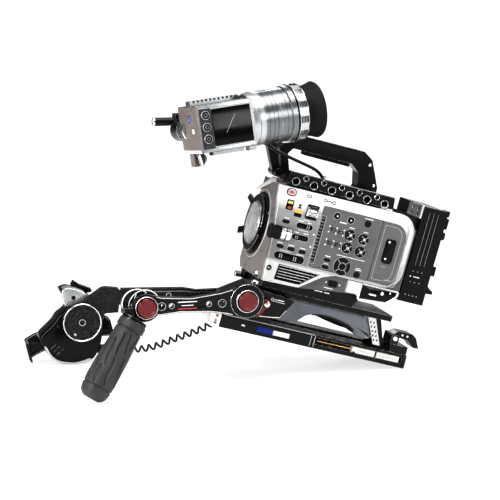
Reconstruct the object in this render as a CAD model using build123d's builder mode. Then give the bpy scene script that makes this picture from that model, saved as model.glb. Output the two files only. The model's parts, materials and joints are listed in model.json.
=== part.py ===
from build123d import *
import math
import os

# Shoulder-rigged cinema camera: camera body, viewfinder on a rod, top handle, battery adapter,
# shoulder base on a tripod plate, and two jointed hand grips.
# Millimetres. The rig stands nose-up on its plate's rear edge and the ends of its two grips.
# Most pieces are drawn level, in the camera's own frame: X to the rear, Y away from the
# operator, Z up, origin on the lens flange. The last section tips and places every piece.

# ---------------------------------------------------------------- driving dimensions
RIG_TILT = 15.9              # camera frame against the floor, degrees
RIG_ORIGIN = (35.0, 0.0, 218.3)      # lens flange in the floor frame

BODY_NEAR = -66.0            # operator's side of the body shell
BODY_FAR = 73.0
BODY_REAR = 211.0
BODY_TOP = 66.0
BODY_BOTTOM = -70.0
WALL = 3.0
PANEL_FACE = -73.0           # outer face of the side panel
INSET_FLOOR = -71.0          # floor of the recess that the control panel lies in
INSET_FACE = -72.6
LENS_Y = 8.0
MOUNT_R = 24.0               # throat of the lens mount
FLANGE_R = 45.0
RUN = 0.05                   # radial clearance of a running fit
GAP = 0.3                    # clearance between pieces that move past each other

DIAL_Y, DIAL_Z, DIAL_R = -69.0, 0.9, 10.0
WHEEL_Y, WHEEL_Z, WHEEL_R = -66.0, 39.5, 10.0
KNOB_R = 7.3
KNOB_CENTRES = [(111.4, 22.0), (133.1, 20.5), (112.4, 2.9), (133.2, 1.8)]
PANEL_OVALS = [(13.0, 18.5), (14.3, -17.3), (31.3, -17.8), (48.4, -18.2)]
INSET_OVALS = [(88.0, -20.7), (88.0, -31.2)]
INSET_ROUNDS = [(85.3, 44.0), (106.9, 42.6), (133.3, 43.7), (137.6, -31.6)]
PAD_CENTRE = (112.7, -24.7)
TOGGLES = [(84.3, 23.5), (95.8, 22.5), (84.5, 4.2), (96.0, 3.4)]
SLOTS = [(42.0, 17.8, 25.0, 8.0), (40.0, 0.8, 25.0, 8.0), (32.0, -30.5, 46.0, 11.0)]
VENT_OUTLINE = [(20, -42), (84, -43.5), (57, -65), (18, -65)]

CHEESE_PITCH = 27.6
CHEESE_BIG_R = 9.525 / 2     # 3/8 inch thread
CHEESE_SMALL_R = 6.35 / 2    # 1/4 inch thread
CHEESE_ROW_Z = 77.0
CHEESE_SMALL_Z = 84.0
RAIL_NEAR, RAIL_FAR = -71.0, -57.0           # the tapped rail along the top plate

LINK_PIVOT = (-5.5, 81.3)    # camera frame, X and Z
ROD_Y, ROD_Z, ROD_R = -20.0, 373.0, 6.0      # floor frame
EVF_CENTRE = (-51.8, -95.0, 372.6)           # floor frame
EVF_YAW, EVF_PITCH, EVF_ROLL = 7.8, 6.2, -6.0
EVF_L, EVF_W, EVF_H = 82.0, 72.0, 65.0
HUB_X, HUB_Z, HUB_R = -28.5, -0.5, 16.0      # tilt axis in the viewfinder's frame
BARREL_R = 37.7
BARREL_AXIS_Z = 2.2         # the barrel's axis above the viewfinder's middle
BARREL_BORE = 32.0

PLATE_TOP, PLATE_BOTTOM = -133.0, -153.0
PLATE_FRONT, PLATE_REAR = -35.0, 258.0
PLATE_HALF = 50.0
RAIL_BOTTOM, RAIL_TOP = -90.0, -81.0
NEAR_HUB = (-19.9, -100.6)   # rosette axes, camera frame
FAR_HUB = (58.4, -106.4)
LEVER_PIVOT = (13.9, -100.7)
LATCH_PIVOT = (235.0, -113.0)

ARM_REAR = (-12.0, 127.0)    # near arm, floor frame
ARM_FRONT = (-155.5, 125.3)
ARM_NEAR, ARM_FAR = -103.0, -92.0
BUTTON_R = 13.5
HANDLE_TOP = (-172.0, -105.0, 111.0)
HANDLE_AXIS = (0.541, 0.169, 0.824)
HANDLE_LENGTH = 124.0
FAR_ARM_HUB = (62.0, 100.0)
STRAP_WIDTH = 33.0
GRIP_AXIS = (-215.0, 68.0)   # far grip's disc, floor frame
GRIP_NEAR, GRIP_FAR = 97.0, 137.0

EVF_CABLE_D = 4.6
GLAND_GAP = 0.8              # lets the viewfinder tilt without its gland meeting the cable
COIL_D = 12.0
# Free cords, floor frame: the viewfinder's cable and the curly grip cable.
EVF_CABLE_ROUTE = [
    (-28, -52, 353), (-28, -37, 349.5), (-13, -27, 347), (9, -31, 345.5), (32, -41, 341),
    (46, -45, 330), (64, -46.5, 321), (84, -45.5, 311.5), (103, -43, 302.5), (115, -39.5, 293),
    (121.5, -37, 281),
]
COIL_ROUTE = [
    (-170, 104, 22), (-156, 104, 22), (-134, 100, 18), (-108, 92, 22), (-80, 84, 34),
    (-52, 77, 44), (-20, 70, 57), (10, 62, 88),
]

# ---------------------------------------------------------------- helpers


def side_plane(y):
    """Plane at Y = y whose sketch coordinates are X and Z. It faces the operator."""
    return Plane.XZ.offset(-y)


def outline(points, plane, rounding=0.0, inset=0.0):
    with BuildSketch(plane) as sketch:
        with BuildLine():
            Polyline(points, close=True)
        make_face()
        if inset:
            offset(amount=-inset)
        if rounding:
            fillet(sketch.vertices(), rounding)
    return sketch.sketch


def slab(points, near, far, rounding=0.0, inset=0.0, mode=Mode.ADD):
    """Prism along Y with an outline in X and Z."""
    extrude(outline(points, side_plane(far), rounding, inset), amount=far - near, mode=mode)


def bar(points, front, rear, rounding=0.0, mode=Mode.ADD):
    """Prism along X with an outline in Y and Z."""
    plane = Plane.YZ.offset(front)
    extrude(outline(points, plane, rounding), amount=rear - front, mode=mode)


def block(x, y, z, mode=Mode.ADD):
    """Box between the two limits given for each axis."""
    centre = ((x[0] + x[1]) / 2, (y[0] + y[1]) / 2, (z[0] + z[1]) / 2)
    with Locations(centre):
        Box(x[1] - x[0], y[1] - y[0], z[1] - z[0], mode=mode)


def disc_y(centre, radius, near, far, mode=Mode.ADD):
    """Cylinder along Y round a point in X and Z."""
    with BuildSketch(side_plane(far)) as sketch:
        with Locations(centre):
            Circle(radius)
    extrude(sketch.sketch, amount=far - near, mode=mode)


def disc_x(centre, radius, front, rear, mode=Mode.ADD):
    """Cylinder along X round a point in Y and Z."""
    with BuildSketch(Plane.YZ.offset(front)) as sketch:
        with Locations(centre):
            Circle(radius)
    extrude(sketch.sketch, amount=rear - front, mode=mode)


def pill_y(x, z, length, height, near, far, mode=Mode.ADD):
    """Round-ended bar lying along X, pressed out along Y."""
    with BuildSketch(side_plane(far)) as sketch:
        with Locations((x, z)):
            SlotOverall(length, height)
    extrude(sketch.sketch, amount=far - near, mode=mode)


def turned_x(profile, mode=Mode.ADD):
    """Solid of revolution about X from points in X and radius."""
    with BuildSketch(Plane.XZ) as sketch:
        with BuildLine():
            Polyline(profile, close=True)
        make_face()
    revolve(sketch.sketch, axis=Axis.X, mode=mode)


def cord_tube(name, route, diameter):
    """Tube along straight runs joined by tangent arcs, each as large as its two runs allow."""
    points = [Vector(*p) for p in route]
    radii = []
    for before, corner, after in zip(points, points[1:], points[2:]):
        arriving = corner - before
        leaving = after - corner
        turn = math.radians(arriving.get_angle(leaving))
        shorter = min(arriving.length, leaving.length)
        radii.append(0.45 * shorter / math.tan(turn / 2))
    with BuildLine() as path:
        FilletPolyline(*points, radius=radii)
    wire = path.wires()[0]
    start = Plane(origin=wire @ 0, z_dir=wire % 0)
    with BuildPart() as tube:
        with BuildSketch(start):
            Circle(diameter / 2)
        sweep(path=wire)
    length = wire.length
    ratio = tube.part.volume / (math.pi * diameter**2 / 4 * length)
    print(name, "length", round(length, 1), "volume ratio", round(ratio, 3))
    print("  radii", [round(radius, 1) for radius in radii])
    return tube


FLOOR = Location((0, 0, 0))
RIG = Location(RIG_ORIGIN, (0, RIG_TILT, 0))
EVF = (
    Location(EVF_CENTRE)
    * Location((0, 0, 0), (0, 0, EVF_YAW))
    * Location((0, 0, 0), (0, -EVF_PITCH, 0))
    * Location((0, 0, 0), (EVF_ROLL, 0, 0))
)
BARREL = EVF * Location((0, 0, BARREL_AXIS_Z))
HANDLE = Plane(origin=HANDLE_TOP, z_dir=HANDLE_AXIS).location
STRAP = Location((-228, 0, 34), (0, -13, 0))

# ---------------------------------------------------------------- camera body shell
SHELL_OUTLINE = [
    (10, BODY_BOTTOM), (62, BODY_BOTTOM), (120, -62.5), (190, -56),
    (BODY_REAR, -40), (BODY_REAR, 50), (194, BODY_TOP), (10, BODY_TOP),
]
BOARD_POSTS = [(72, -34), (178, -34), (72, 42), (178, 42)]
FAN_CENTRE = (150.0, 10.0)

with BuildPart() as body_shell:
    slab(SHELL_OUTLINE, BODY_NEAR, BODY_FAR)
    slab(SHELL_OUTLINE, BODY_NEAR + WALL, BODY_FAR - WALL, inset=WALL, mode=Mode.SUBTRACT)
    disc_x((LENS_Y, 0), 26, 9, 14, mode=Mode.SUBTRACT)
    disc_x((DIAL_Y, DIAL_Z), DIAL_R + 0.8, 9, 26, mode=Mode.SUBTRACT)
    disc_x((WHEEL_Y, WHEEL_Z), WHEEL_R + 0.8, 40, 54, mode=Mode.SUBTRACT)
    disc_x((WHEEL_Y, WHEEL_Z), 2 + RUN, 38, 56, mode=Mode.SUBTRACT)
    for post in BOARD_POSTS:
        disc_y(post, 3, BODY_NEAR + WALL, -40)
    disc_y(FAN_CENTRE, 4, 53.5, BODY_FAR - WALL)
    disc_y(FAN_CENTRE, 1.5 + RUN, 53.5, 60, mode=Mode.SUBTRACT)
    for row in range(7):
        pill_y(150, -28 + 9 * row, 56, 3, BODY_FAR - WALL, BODY_FAR, mode=Mode.SUBTRACT)

# ---------------------------------------------------------------- front housing with lens mount
HOUSING_OUTLINE = [
    (BODY_NEAR, -71), (40, -71), (51, -60), (51, 28), (36, 49), (-30, 69), (BODY_NEAR, 69),
]
VISOR_OUTLINE = [(36, 47.5), (44, 47), (-20, 73), (-40, 74), (-44, 68), (-30, 67.5)]

with BuildPart() as front_housing:
    bar(HOUSING_OUTLINE, -1, 10, rounding=3)
    bar(VISOR_OUTLINE, -7, 10)
    disc_x((LENS_Y, 0), FLANGE_R + 6, -2.2, 0)
    disc_x((LENS_Y, 0), FLANGE_R, -4, 0)
    disc_x((LENS_Y, 0), MOUNT_R, -5, 10, mode=Mode.SUBTRACT)
    disc_x((DIAL_Y, DIAL_Z), DIAL_R + 0.8, -8, 10, mode=Mode.SUBTRACT)

# ---------------------------------------------------------------- lens lock ring and body cap
LOCK_INNER, LOCK_OUTER = 31.6, 42.0

with BuildPart() as lens_lock_ring:
    disc_x((LENS_Y, 0), LOCK_OUTER, -9.5, -4.3)
    for angle in (41, -24, 188):
        lug = Location((0, LENS_Y, 0), (angle, 0, 0))
        with BuildSketch(Plane.XY, mode=Mode.PRIVATE) as tooth:
            with BuildLine():
                Polyline([(-5, 38), (-9, 38), (-15, 51), (-12, 51)], close=True)
            make_face()
        wedge = extrude(tooth.sketch, amount=5, both=True, mode=Mode.PRIVATE)
        add(lug * wedge)
    disc_x((LENS_Y, 0), LOCK_INNER, -16, -4, mode=Mode.SUBTRACT)

with BuildPart() as body_cap:
    disc_x((LENS_Y, 0), 31, -11, -4)
    disc_x((LENS_Y, 0), 26, -11.6, -11)
    disc_x((LENS_Y, 0), 22.5, -12, -11, mode=Mode.SUBTRACT)
    disc_x((LENS_Y, 0), 5, -11.6, -10.5)
    disc_x((LENS_Y, 0), MOUNT_R - 0.4, -4, 2)

# ---------------------------------------------------------------- side panel
PANEL_OUTLINE = [
    (-10, 67.5), (-1.5, -5), (2, -70.5), (57, -69), (88, -46.5), (106, -40), (206, -40), (206, 69.5),
]
INSET_OUTLINE = [(62, 54), (62, -36.5), (198, -36.5), (198, 54)]

with BuildPart() as side_panel:
    slab(PANEL_OUTLINE, PANEL_FACE, BODY_NEAR)
    rear_corners = side_panel.edges().filter_by(Axis.Y).sort_by(Axis.X)[-2:]
    fillet(rear_corners, 26)
    slab(INSET_OUTLINE, PANEL_FACE, INSET_FLOOR, mode=Mode.SUBTRACT)
    slab(VENT_OUTLINE, PANEL_FACE, BODY_NEAR, mode=Mode.SUBTRACT)
    disc_x((DIAL_Y, DIAL_Z), DIAL_R + 0.8, -12, 25, mode=Mode.SUBTRACT)
    disc_x((DIAL_Y, DIAL_Z), 2.5 + RUN, 25, 29, mode=Mode.SUBTRACT)
    disc_x((WHEEL_Y, WHEEL_Z), WHEEL_R + 0.8, 40, 54, mode=Mode.SUBTRACT)
    disc_x((WHEEL_Y, WHEEL_Z), 2 + RUN, 38, 56, mode=Mode.SUBTRACT)
    pill_y(10, 61, 12.6, 8.6, PANEL_FACE, -67.5, mode=Mode.SUBTRACT)
    for x, z in PANEL_OVALS + INSET_OVALS:
        pill_y(x, z, 11.6, 5.6, PANEL_FACE, -68.5, mode=Mode.SUBTRACT)
    for centre in INSET_ROUNDS:
        disc_y(centre, 3.5, PANEL_FACE, -68.5, mode=Mode.SUBTRACT)
    disc_y(PAD_CENTRE, 12.8, PANEL_FACE, -68.5, mode=Mode.SUBTRACT)
    for centre in KNOB_CENTRES:
        disc_y(centre, 2 + RUN, PANEL_FACE, -68.2, mode=Mode.SUBTRACT)
    for x, z, length, height in SLOTS:
        pill_y(x, z, length, height, PANEL_FACE, -70.5, mode=Mode.SUBTRACT)
    disc_y((7, -50.8), 4, PANEL_FACE, -68, mode=Mode.SUBTRACT)
    disc_y((7, -50.8), 1.2, -72, -68)

# ---------------------------------------------------------------- control panel, door and grille
with BuildPart() as control_panel:
    slab([(62.5, 53.5), (62.5, -36), (155.5, -36), (155.5, 53.5)], INSET_FACE, INSET_FLOOR)
    block((63.5, 69.5), (-74, -70), (-30, 39), mode=Mode.SUBTRACT)
    for rib in range(14):
        block((63.5, 68), (-73.6, INSET_FLOOR), (-29 + 4.9 * rib, -26.6 + 4.9 * rib))
    for x, z in INSET_OVALS:
        pill_y(x, z, 11.6, 5.6, -74, -70, mode=Mode.SUBTRACT)
    for centre in INSET_ROUNDS:
        disc_y(centre, 3.5, -74, -70, mode=Mode.SUBTRACT)
    disc_y(PAD_CENTRE, 12.8, -74, -70, mode=Mode.SUBTRACT)
    for centre in KNOB_CENTRES:
        disc_y(centre, KNOB_R + 0.7, -74, -70, mode=Mode.SUBTRACT)
    for x, z in TOGGLES:
        block((x - 4.2, x + 4.2), (-74, -70), (z - 3, z + 3), mode=Mode.SUBTRACT)

DOOR_FACE = -72.6
with BuildPart() as media_door:
    slab([(156.4, 53.5), (156.4, -36), (196, -36), (196, 53.5)], DOOR_FACE, INSET_FLOOR - GAP)
    fillet(media_door.edges().filter_by(Axis.Y).sort_by(Axis.X)[-2:], 19)
    with BuildSketch(side_plane(DOOR_FACE)):
        with Locations((175.5, 12.5)):
            RectangleRounded(17, 37, 5)
    extrude(amount=0.7)

with BuildPart() as vent_grille:
    slab(VENT_OUTLINE, INSET_FACE, -70)
    for row, right in enumerate((80, 75, 70, 64, 58)):
        z = -46 - 4.1 * row
        pill_y((22 + right) / 2, z, right - 22, 2.4, -74, -69, mode=Mode.SUBTRACT)

# ---------------------------------------------------------------- buttons, dials and switches
with BuildPart() as record_button:
    pill_y(10, 61, 12, 8, -74.2, -69)

with BuildPart() as push_buttons:
    for x, z in PANEL_OVALS + INSET_OVALS:
        pill_y(x, z, 11, 5, -74, -69.6)
    for centre in INSET_ROUNDS:
        disc_y(centre, 3.2, -74, -69.6)
    disc_y(PAD_CENTRE, 12.4, -74, -69.6)
    disc_y(PAD_CENTRE, 5.6, -74.1, -73, mode=Mode.SUBTRACT)
    disc_y(PAD_CENTRE, 4.6, -74.4, -73)

with BuildPart() as toggle_switches:
    for x, z, half in ((47, 17.8, 2.5), (34, 0.8, 2.5), (18.5, -30.5, 3.5), (40, -30.5, 3.5)):
        block((x - 3, x + 3), (-74.4, -70.8), (z - half, z + half))
    for x, z in TOGGLES:
        block((x - 1.9, x + 1.9), (-73.8, INSET_FLOOR - GAP), (z - 2, z + 2))

with BuildPart() as nd_dial:
    disc_x((DIAL_Y, DIAL_Z), DIAL_R, -6, 8.8)
    disc_x((DIAL_Y, DIAL_Z), DIAL_R - 1.5, 8.8, 10)
    disc_x((DIAL_Y, DIAL_Z), DIAL_R, 10, 24.6)
    disc_x((DIAL_Y, DIAL_Z), DIAL_R + 1, 16.8, 18, mode=Mode.SUBTRACT)
    disc_x((DIAL_Y, DIAL_Z), DIAL_R - 0.8, 16.8, 18)
    disc_x((DIAL_Y, DIAL_Z), 2.5, 24.6, 28.6)

with BuildPart() as menu_wheel:
    disc_x((WHEEL_Y, WHEEL_Z), WHEEL_R, 40.6, 53.4)
    disc_x((WHEEL_Y, WHEEL_Z), 2, 38.4, 55.6)

audio_knobs = []
for centre in KNOB_CENTRES:
    with BuildPart() as audio_knob:
        disc_y(centre, KNOB_R, -76.8, INSET_FLOOR - GAP)
        chamfer(audio_knob.faces().sort_by(Axis.Y)[0].edges(), 0.8)
        disc_y(centre, 2, INSET_FLOOR - GAP, -68.4)
    audio_knobs.append(audio_knob)

with BuildPart() as power_switch:
    block((103.5, 113.5), (-68.8, -66.2), (-55.5, -50.5))

with BuildPart() as port_flap:
    slab([(130.5, -59), (130.5, -42), (151.5, -42), (151.5, -59)], -68.6, -66.3, rounding=1.2)

# ---------------------------------------------------------------- inside the body
NDW_CENTRE = (LENS_Y, -20.0)
with BuildPart() as image_sensor:
    block((18, 20), (-14, 30), (-26, 22))
    block((17, 18), (-10, 26), (-13, 13))
    for y in (-8, 24):
        disc_x((y, 18), 2, 13, 18)
    disc_x(NDW_CENTRE, 3 + RUN, 17, 21, mode=Mode.SUBTRACT)

with BuildPart() as nd_filter_wheel:
    disc_x(NDW_CENTRE, 33, 13.6, 16.4)
    with BuildSketch(Plane.YZ.offset(13)):
        with Locations(NDW_CENTRE):
            with PolarLocations(20, 4, start_angle=90):
                Circle(11.5)
    extrude(amount=4, mode=Mode.SUBTRACT)
    disc_x(NDW_CENTRE, 3, 16.4, 21.5)

with BuildPart() as main_board:
    block((66, 184), (-40, -38.4), (-40, 48))
    for x, z, w, h in ((90, 10, 30, 30), (130, 18, 22, 22), (160, -10, 16, 24), (110, -26, 36, 10)):
        block((x - w / 2, x + w / 2), (-38.4, -35.6), (z - h / 2, z + h / 2))

with BuildPart() as cooling_fan:
    disc_y(FAN_CENTRE, 6.5, 43, 53)
    disc_y(FAN_CENTRE, 1.5, 53, 58)
    with BuildSketch(side_plane(52)):
        with Locations(FAN_CENTRE):
            with PolarLocations(11.5, 7):
                Rectangle(13, 2)
    extrude(amount=8)

# ---------------------------------------------------------------- top plate
CHEESE_XS = [12.3 + CHEESE_PITCH * i for i in range(6)]
SMALL_XS = [x + CHEESE_PITCH / 2 for x in CHEESE_XS[:-1]]

plug_end = Vector(*EVF_CABLE_ROUTE[-1])
plug_way = (plug_end - Vector(*EVF_CABLE_ROUTE[-2])).normalized()
CABLE_PLUG = Plane(origin=plug_end + plug_way * 7.05, z_dir=plug_way).location

with BuildPart() as cheese_plate:
    slab([(-3, 72), (165.5, 72), (163.5, 89.5), (2.7, 89.5)], RAIL_NEAR, RAIL_FAR)
    block((10, 160), (-46, 32), (72, 79))
    for x in SMALL_XS:
        block((x - 6, x + 6), (RAIL_FAR, -46), (72, 79))
    block((20, 150), (-60, -40), (BODY_TOP, 72))
    block((20, 150), (10, 30), (BODY_TOP, 72))
    add(RIG.inverse() * CABLE_PLUG * Cylinder(4.2, 14, mode=Mode.PRIVATE))
    for x in CHEESE_XS:
        disc_y((x, CHEESE_ROW_Z), CHEESE_BIG_R, RAIL_NEAR, RAIL_FAR, mode=Mode.SUBTRACT)
    for x in SMALL_XS:
        disc_y((x, CHEESE_SMALL_Z), CHEESE_SMALL_R, RAIL_NEAR, RAIL_FAR, mode=Mode.SUBTRACT)

# ---------------------------------------------------------------- top handle
HANDLE_OUTER = [
    (6, 79), (-7, 116), (-3, 123), (12, 128), (28, 140), (121, 141), (136, 132), (155, 94), (155, 79),
]
HANDLE_WINDOW = [(17, 86), (8, 110), (14, 119), (106, 119), (119, 110), (125, 86)]

with BuildPart() as top_handle:
    slab(HANDLE_OUTER, -13, 13, rounding=2.5)
    slab(HANDLE_WINDOW, -13, 13, rounding=4, mode=Mode.SUBTRACT)
    disc_y(LINK_PIVOT, 7, -13, -5)
    slab([(-5, 84), (9, 84), (9, 92), (0, 90)], -13, -5)
    disc_y(LINK_PIVOT, 3, -28, -5)
    disc_y(LINK_PIVOT, 5.5, -36, -27)

with BuildPart() as handle_rubber:
    block((34, 104), (-11, 11), (113.5, 118.5))
    for rib in range(16):
        block((36 + 4.2 * rib, 38 + 4.2 * rib), (-12, 12), (113, 114.5), mode=Mode.SUBTRACT)

# ---------------------------------------------------------------- viewfinder link and rod
LINK_FOOT = (RIG * Location((LINK_PIVOT[0], 0, LINK_PIVOT[1]))).position
CLAMP_X = 40.0

with BuildPart() as evf_link:
    foot = (LINK_FOOT.X, LINK_FOOT.Z)
    disc_y(foot, 7, -26.4, -13.3)
    slab(
        [(foot[0] - 6, foot[1]), (foot[0] + 6, foot[1]), (CLAMP_X + 8, 366), (CLAMP_X - 8, 366)],
        -26.4, -13.3,
    )
    block((CLAMP_X - 11, CLAMP_X + 11), (ROD_Y - 10, ROD_Y + 10), (ROD_Z - 11, ROD_Z + 11))
    disc_x((ROD_Y, ROD_Z), ROD_R + RUN, CLAMP_X - 12, CLAMP_X + 12, mode=Mode.SUBTRACT)
    disc_y(foot, 3 + RUN, -30, -10, mode=Mode.SUBTRACT)

ROD_FRONT, ROD_REAR = -127.0, 62.0
with BuildPart() as evf_rod:
    disc_x((ROD_Y, ROD_Z), ROD_R, ROD_FRONT, ROD_REAR)
    block((-97, -73), (ROD_Y - 11, ROD_Y + 10), (ROD_Z - 12, ROD_Z + 11))
    with Locations((-85, ROD_Y + 10, ROD_Z)):
        Cylinder(5, 10, rotation=(90, 0, 0), align=(Align.CENTER, Align.CENTER, Align.MAX))
    hub = Cylinder(
        HUB_R, 27, rotation=(90, 0, 0), align=(Align.CENTER, Align.CENTER, Align.MAX), mode=Mode.PRIVATE
    )
    add(EVF * Location((HUB_X, 44.4, HUB_Z)) * hub)

# ---------------------------------------------------------------- viewfinder
def rounded_box(x0, x1, y0, y1, z0, z1, radius, mode=Mode.ADD):
    with BuildSketch(Plane.YZ.offset(x0)) as sketch:
        with Locations(((y0 + y1) / 2, (z0 + z1) / 2)):
            RectangleRounded(y1 - y0, z1 - z0, radius)
    extrude(sketch.sketch, amount=x1 - x0, mode=mode)


EVF_FRONT, EVF_REAR = -EVF_L / 2, EVF_L / 2
gland_start = Vector(*EVF_CABLE_ROUTE[0])
gland_way = (gland_start - Vector(*EVF_CABLE_ROUTE[1])).normalized()
EVF_GLAND = Plane(origin=gland_start + gland_way * (6 + GLAND_GAP), z_dir=gland_way).location
EVF_PLATE = 3.0
EVF_BUTTONS = [(-29, 18), (-29, 2), (-29, -14)]

with BuildPart() as evf_body:
    front = EVF_FRONT + EVF_PLATE
    rounded_box(front, EVF_REAR, -EVF_W / 2, EVF_W / 2, -EVF_H / 2, EVF_H / 2, 4)
    rounded_box(
        front + 3, EVF_REAR + 1, -EVF_W / 2 + 4, EVF_W / 2 - 4, -EVF_H / 2 + 4, EVF_H / 2 - 4, 2,
        mode=Mode.SUBTRACT,
    )
    rounded_box(EVF_REAR - 4, EVF_REAR, -EVF_W / 2 + 1, EVF_W / 2 - 1, -EVF_H / 2 + 1, EVF_H / 2 - 1, 3)
    disc_x((0, BARREL_AXIS_Z), 24, EVF_REAR - 5, EVF_REAR + 1, mode=Mode.SUBTRACT)
    disc_y((HUB_X, HUB_Z), 13.5, EVF_W / 2 - 0.5, 44)
    for x, z in EVF_BUTTONS:
        disc_y((x, z), 5.3, -EVF_W / 2 - 1, -EVF_W / 2 + 2.5, mode=Mode.SUBTRACT)
    block((-31, 41), (12, 30), (EVF_H / 2, EVF_H / 2 + 6))
    for tooth in range(11):
        tooth_x = -27 + 6.2 * tooth
        block((tooth_x, tooth_x + 3), (10, 32), (EVF_H / 2 + 3, EVF_H / 2 + 7), mode=Mode.SUBTRACT)
    block((-24, 22), (-32, -16), (-EVF_H / 2 - 4.5, -EVF_H / 2))
    block((30, EVF_REAR), (-30, -16), (-EVF_H / 2 - 6, -EVF_H / 2))
    add(EVF.inverse() * EVF_GLAND * Cylinder(3.6, 12, mode=Mode.PRIVATE))

with BuildPart() as evf_front_plate:
    rounded_box(EVF_FRONT, front, -EVF_W / 2, EVF_W / 2, -EVF_H / 2, EVF_H / 2, 4)
    disc_x((EVF_W / 2 + 6, HUB_Z), 15, EVF_FRONT - 1, front + 1, mode=Mode.SUBTRACT)
    block((EVF_FRONT, EVF_FRONT + 13), (-2, 14), (-EVF_H / 2 - 18, -EVF_H / 2))
    disc_y((EVF_FRONT + 8, -EVF_H / 2 - 8), 4.5, -12, -2)

with BuildPart() as evf_buttons:
    for x, z in EVF_BUTTONS:
        disc_y((x, z), 5, -EVF_W / 2 - 1.2, -EVF_W / 2 + 1.3)

with BuildPart() as evf_barrel:
    turned_x([
        (41, BARREL_BORE), (41, 34.5), (49, BARREL_R), (57, BARREL_R), (57, 36.9), (58, 36.9),
        (58, 37.4), (81, 37.4), (81, 36.8), (82, 36.8), (82, BARREL_R), (97, BARREL_R),
        (98, 39.6), (105, 39.6), (105, 35.7), (122, 35.7), (122, BARREL_BORE),
    ])

with BuildPart() as evf_focus_ring:
    turned_x([(105.4, 36), (105.4, 40.6), (122.6, 39.8), (122.6, 36)])
    for notch in range(12):
        spoke = Location((0, 0, 0), (30 * notch, 0, 0))
        add(spoke * Location((117, 0, 40.6)) * Box(9, 9, 3, mode=Mode.PRIVATE), mode=Mode.SUBTRACT)

with BuildPart() as eyecup:
    turned_x([
        (122.9, 29), (122.9, 34.5), (128, 33.6), (133, 34.6), (147.5, 38.6), (149, 37), (134, 31), (129, 29),
    ])

with BuildPart() as evf_lens:
    turned_x([(112, 0), (112, BARREL_BORE), (116, BARREL_BORE), (118, 20), (119, 0)])

# ---------------------------------------------------------------- battery adapter
ADAPTER_FRONT, ADAPTER_REAR = 218.0, 257.0
with BuildPart() as battery_adapter:
    adapter_sides = [(-55, -55), (50, -55), (50, 88), (-55, 88)]
    bar(adapter_sides, ADAPTER_FRONT, ADAPTER_REAR, rounding=2)
    block((221, 254), (-52, 47), (-52, 85), mode=Mode.SUBTRACT)
    block((211.3, ADAPTER_FRONT), (-48, 48), (-46, 68.5))
    for x in (229, 236, 243):
        block((x - 0.7, x + 0.7), (-56, -54), (0, 82), mode=Mode.SUBTRACT)
    block((ADAPTER_REAR, 259.5), (-44, 40), (-36, 60))
    block((ADAPTER_REAR, 263), (-50, -30), (62, 78))
    disc_x((-48, 51.5), 6, ADAPTER_REAR, 262)
    block((ADAPTER_REAR, 258.6), (-50, -46), (8, 42))
    block((ADAPTER_REAR, 263.5), (-52, -36), (-9, 5))
    slab([(ADAPTER_REAR, -22), (ADAPTER_REAR, -37), (269, -36), (269, -32), (262, -28)], -50, -30)

with BuildPart() as battery_release:
    block((ADAPTER_REAR + GAP, 262.5), (-48, -28), (80.5, 89))

with BuildPart() as rear_bracket:
    bar([(-54, 69), (-2, 69), (-2, 86), (-54, 89.5)], 214.8, ADAPTER_FRONT)
    for y in (-42, -20):
        for z in (73.5, 82.5):
            disc_x((y, z), 3.4, 214, 219, mode=Mode.SUBTRACT)

# ---------------------------------------------------------------- shoulder base
with BuildPart() as base_plate:
    block((8, 221), (-45, 45), (RAIL_BOTTOM, RAIL_TOP))
    slab(
        [(8, RAIL_TOP), (8, -72), (10.2, -72), (10.2, -70.2), (62, -70.2), (120, -62.8), (150, -60),
         (157, -68), (150, RAIL_TOP)],
        -57, 57,
    )
    slab([(199, RAIL_BOTTOM), (211, RAIL_BOTTOM), (227.5, PLATE_TOP), (215.5, PLATE_TOP)], -28, 28)
    disc_x((20, -80.5), 4, -11, 1)
    disc_x((20, -80.5), 5, 1, 9)

NEAR_WING = [
    (-34, -101), (-26, -88.2), (-10.6, -82), (5, -84), (41, -86.3), (56, -89), (41, -116.5),
    (30, -119), (-26, -124.5),
]
coil_end = Vector(*COIL_ROUTE[-1])
coil_way = (coil_end - Vector(*COIL_ROUTE[-2])).normalized()
COIL_SOCKET = Plane(origin=coil_end + coil_way * 12.05, z_dir=coil_way).location

with BuildPart() as rosette_block:
    slab(NEAR_WING, -80, -46.5)
    slab([(8, RAIL_BOTTOM), (40, RAIL_BOTTOM), (40, PLATE_TOP), (-24, PLATE_TOP), (-24, -112)], -46.5, 46.5)
    slab([(22, RAIL_BOTTOM), (76, RAIL_BOTTOM), (76, -121), (22, -121)], 46.5, 72)
    disc_y(NEAR_HUB, 22, -91.6, -80)
    disc_y(NEAR_HUB, 6, -94, -80)
    disc_y(FAR_HUB, 15, 72, 83.6)
    disc_y(FAR_HUB, 4, 72, 97)
    disc_y(FAR_HUB, 9, 94.5, 100)
    disc_y(LEVER_PIVOT, 2.5, -87, -80)
    disc_y(LEVER_PIVOT, 4.2, -88.5, -86.6)
    with Locations((-5.4, -68, -80)):
        Cylinder(4.5, 7)
    add(RIG.inverse() * COIL_SOCKET * Cylinder(6.5, 24, mode=Mode.PRIVATE))

with BuildPart() as release_lever:
    slab([(8.5, -98.5), (19, -99), (7.5, -121.5), (1.5, -123)], -86.3, -80.3, rounding=1.5)
    disc_y(LEVER_PIVOT, 6.5, -86.3, -80.3)
    disc_y(LEVER_PIVOT, 2.5 + RUN, -88, -80, mode=Mode.SUBTRACT)

PAD_OUTLINE = [
    (46, -90.6), (180, -90.6), (199, -118.5), (178, -122.5), (170, -115), (158, -109), (136, -104),
    (106, -104.5), (92, -110), (83, -119), (67, -124), (46, -122),
]
with BuildPart() as shoulder_pad:
    slab(PAD_OUTLINE, -44, 44)

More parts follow.
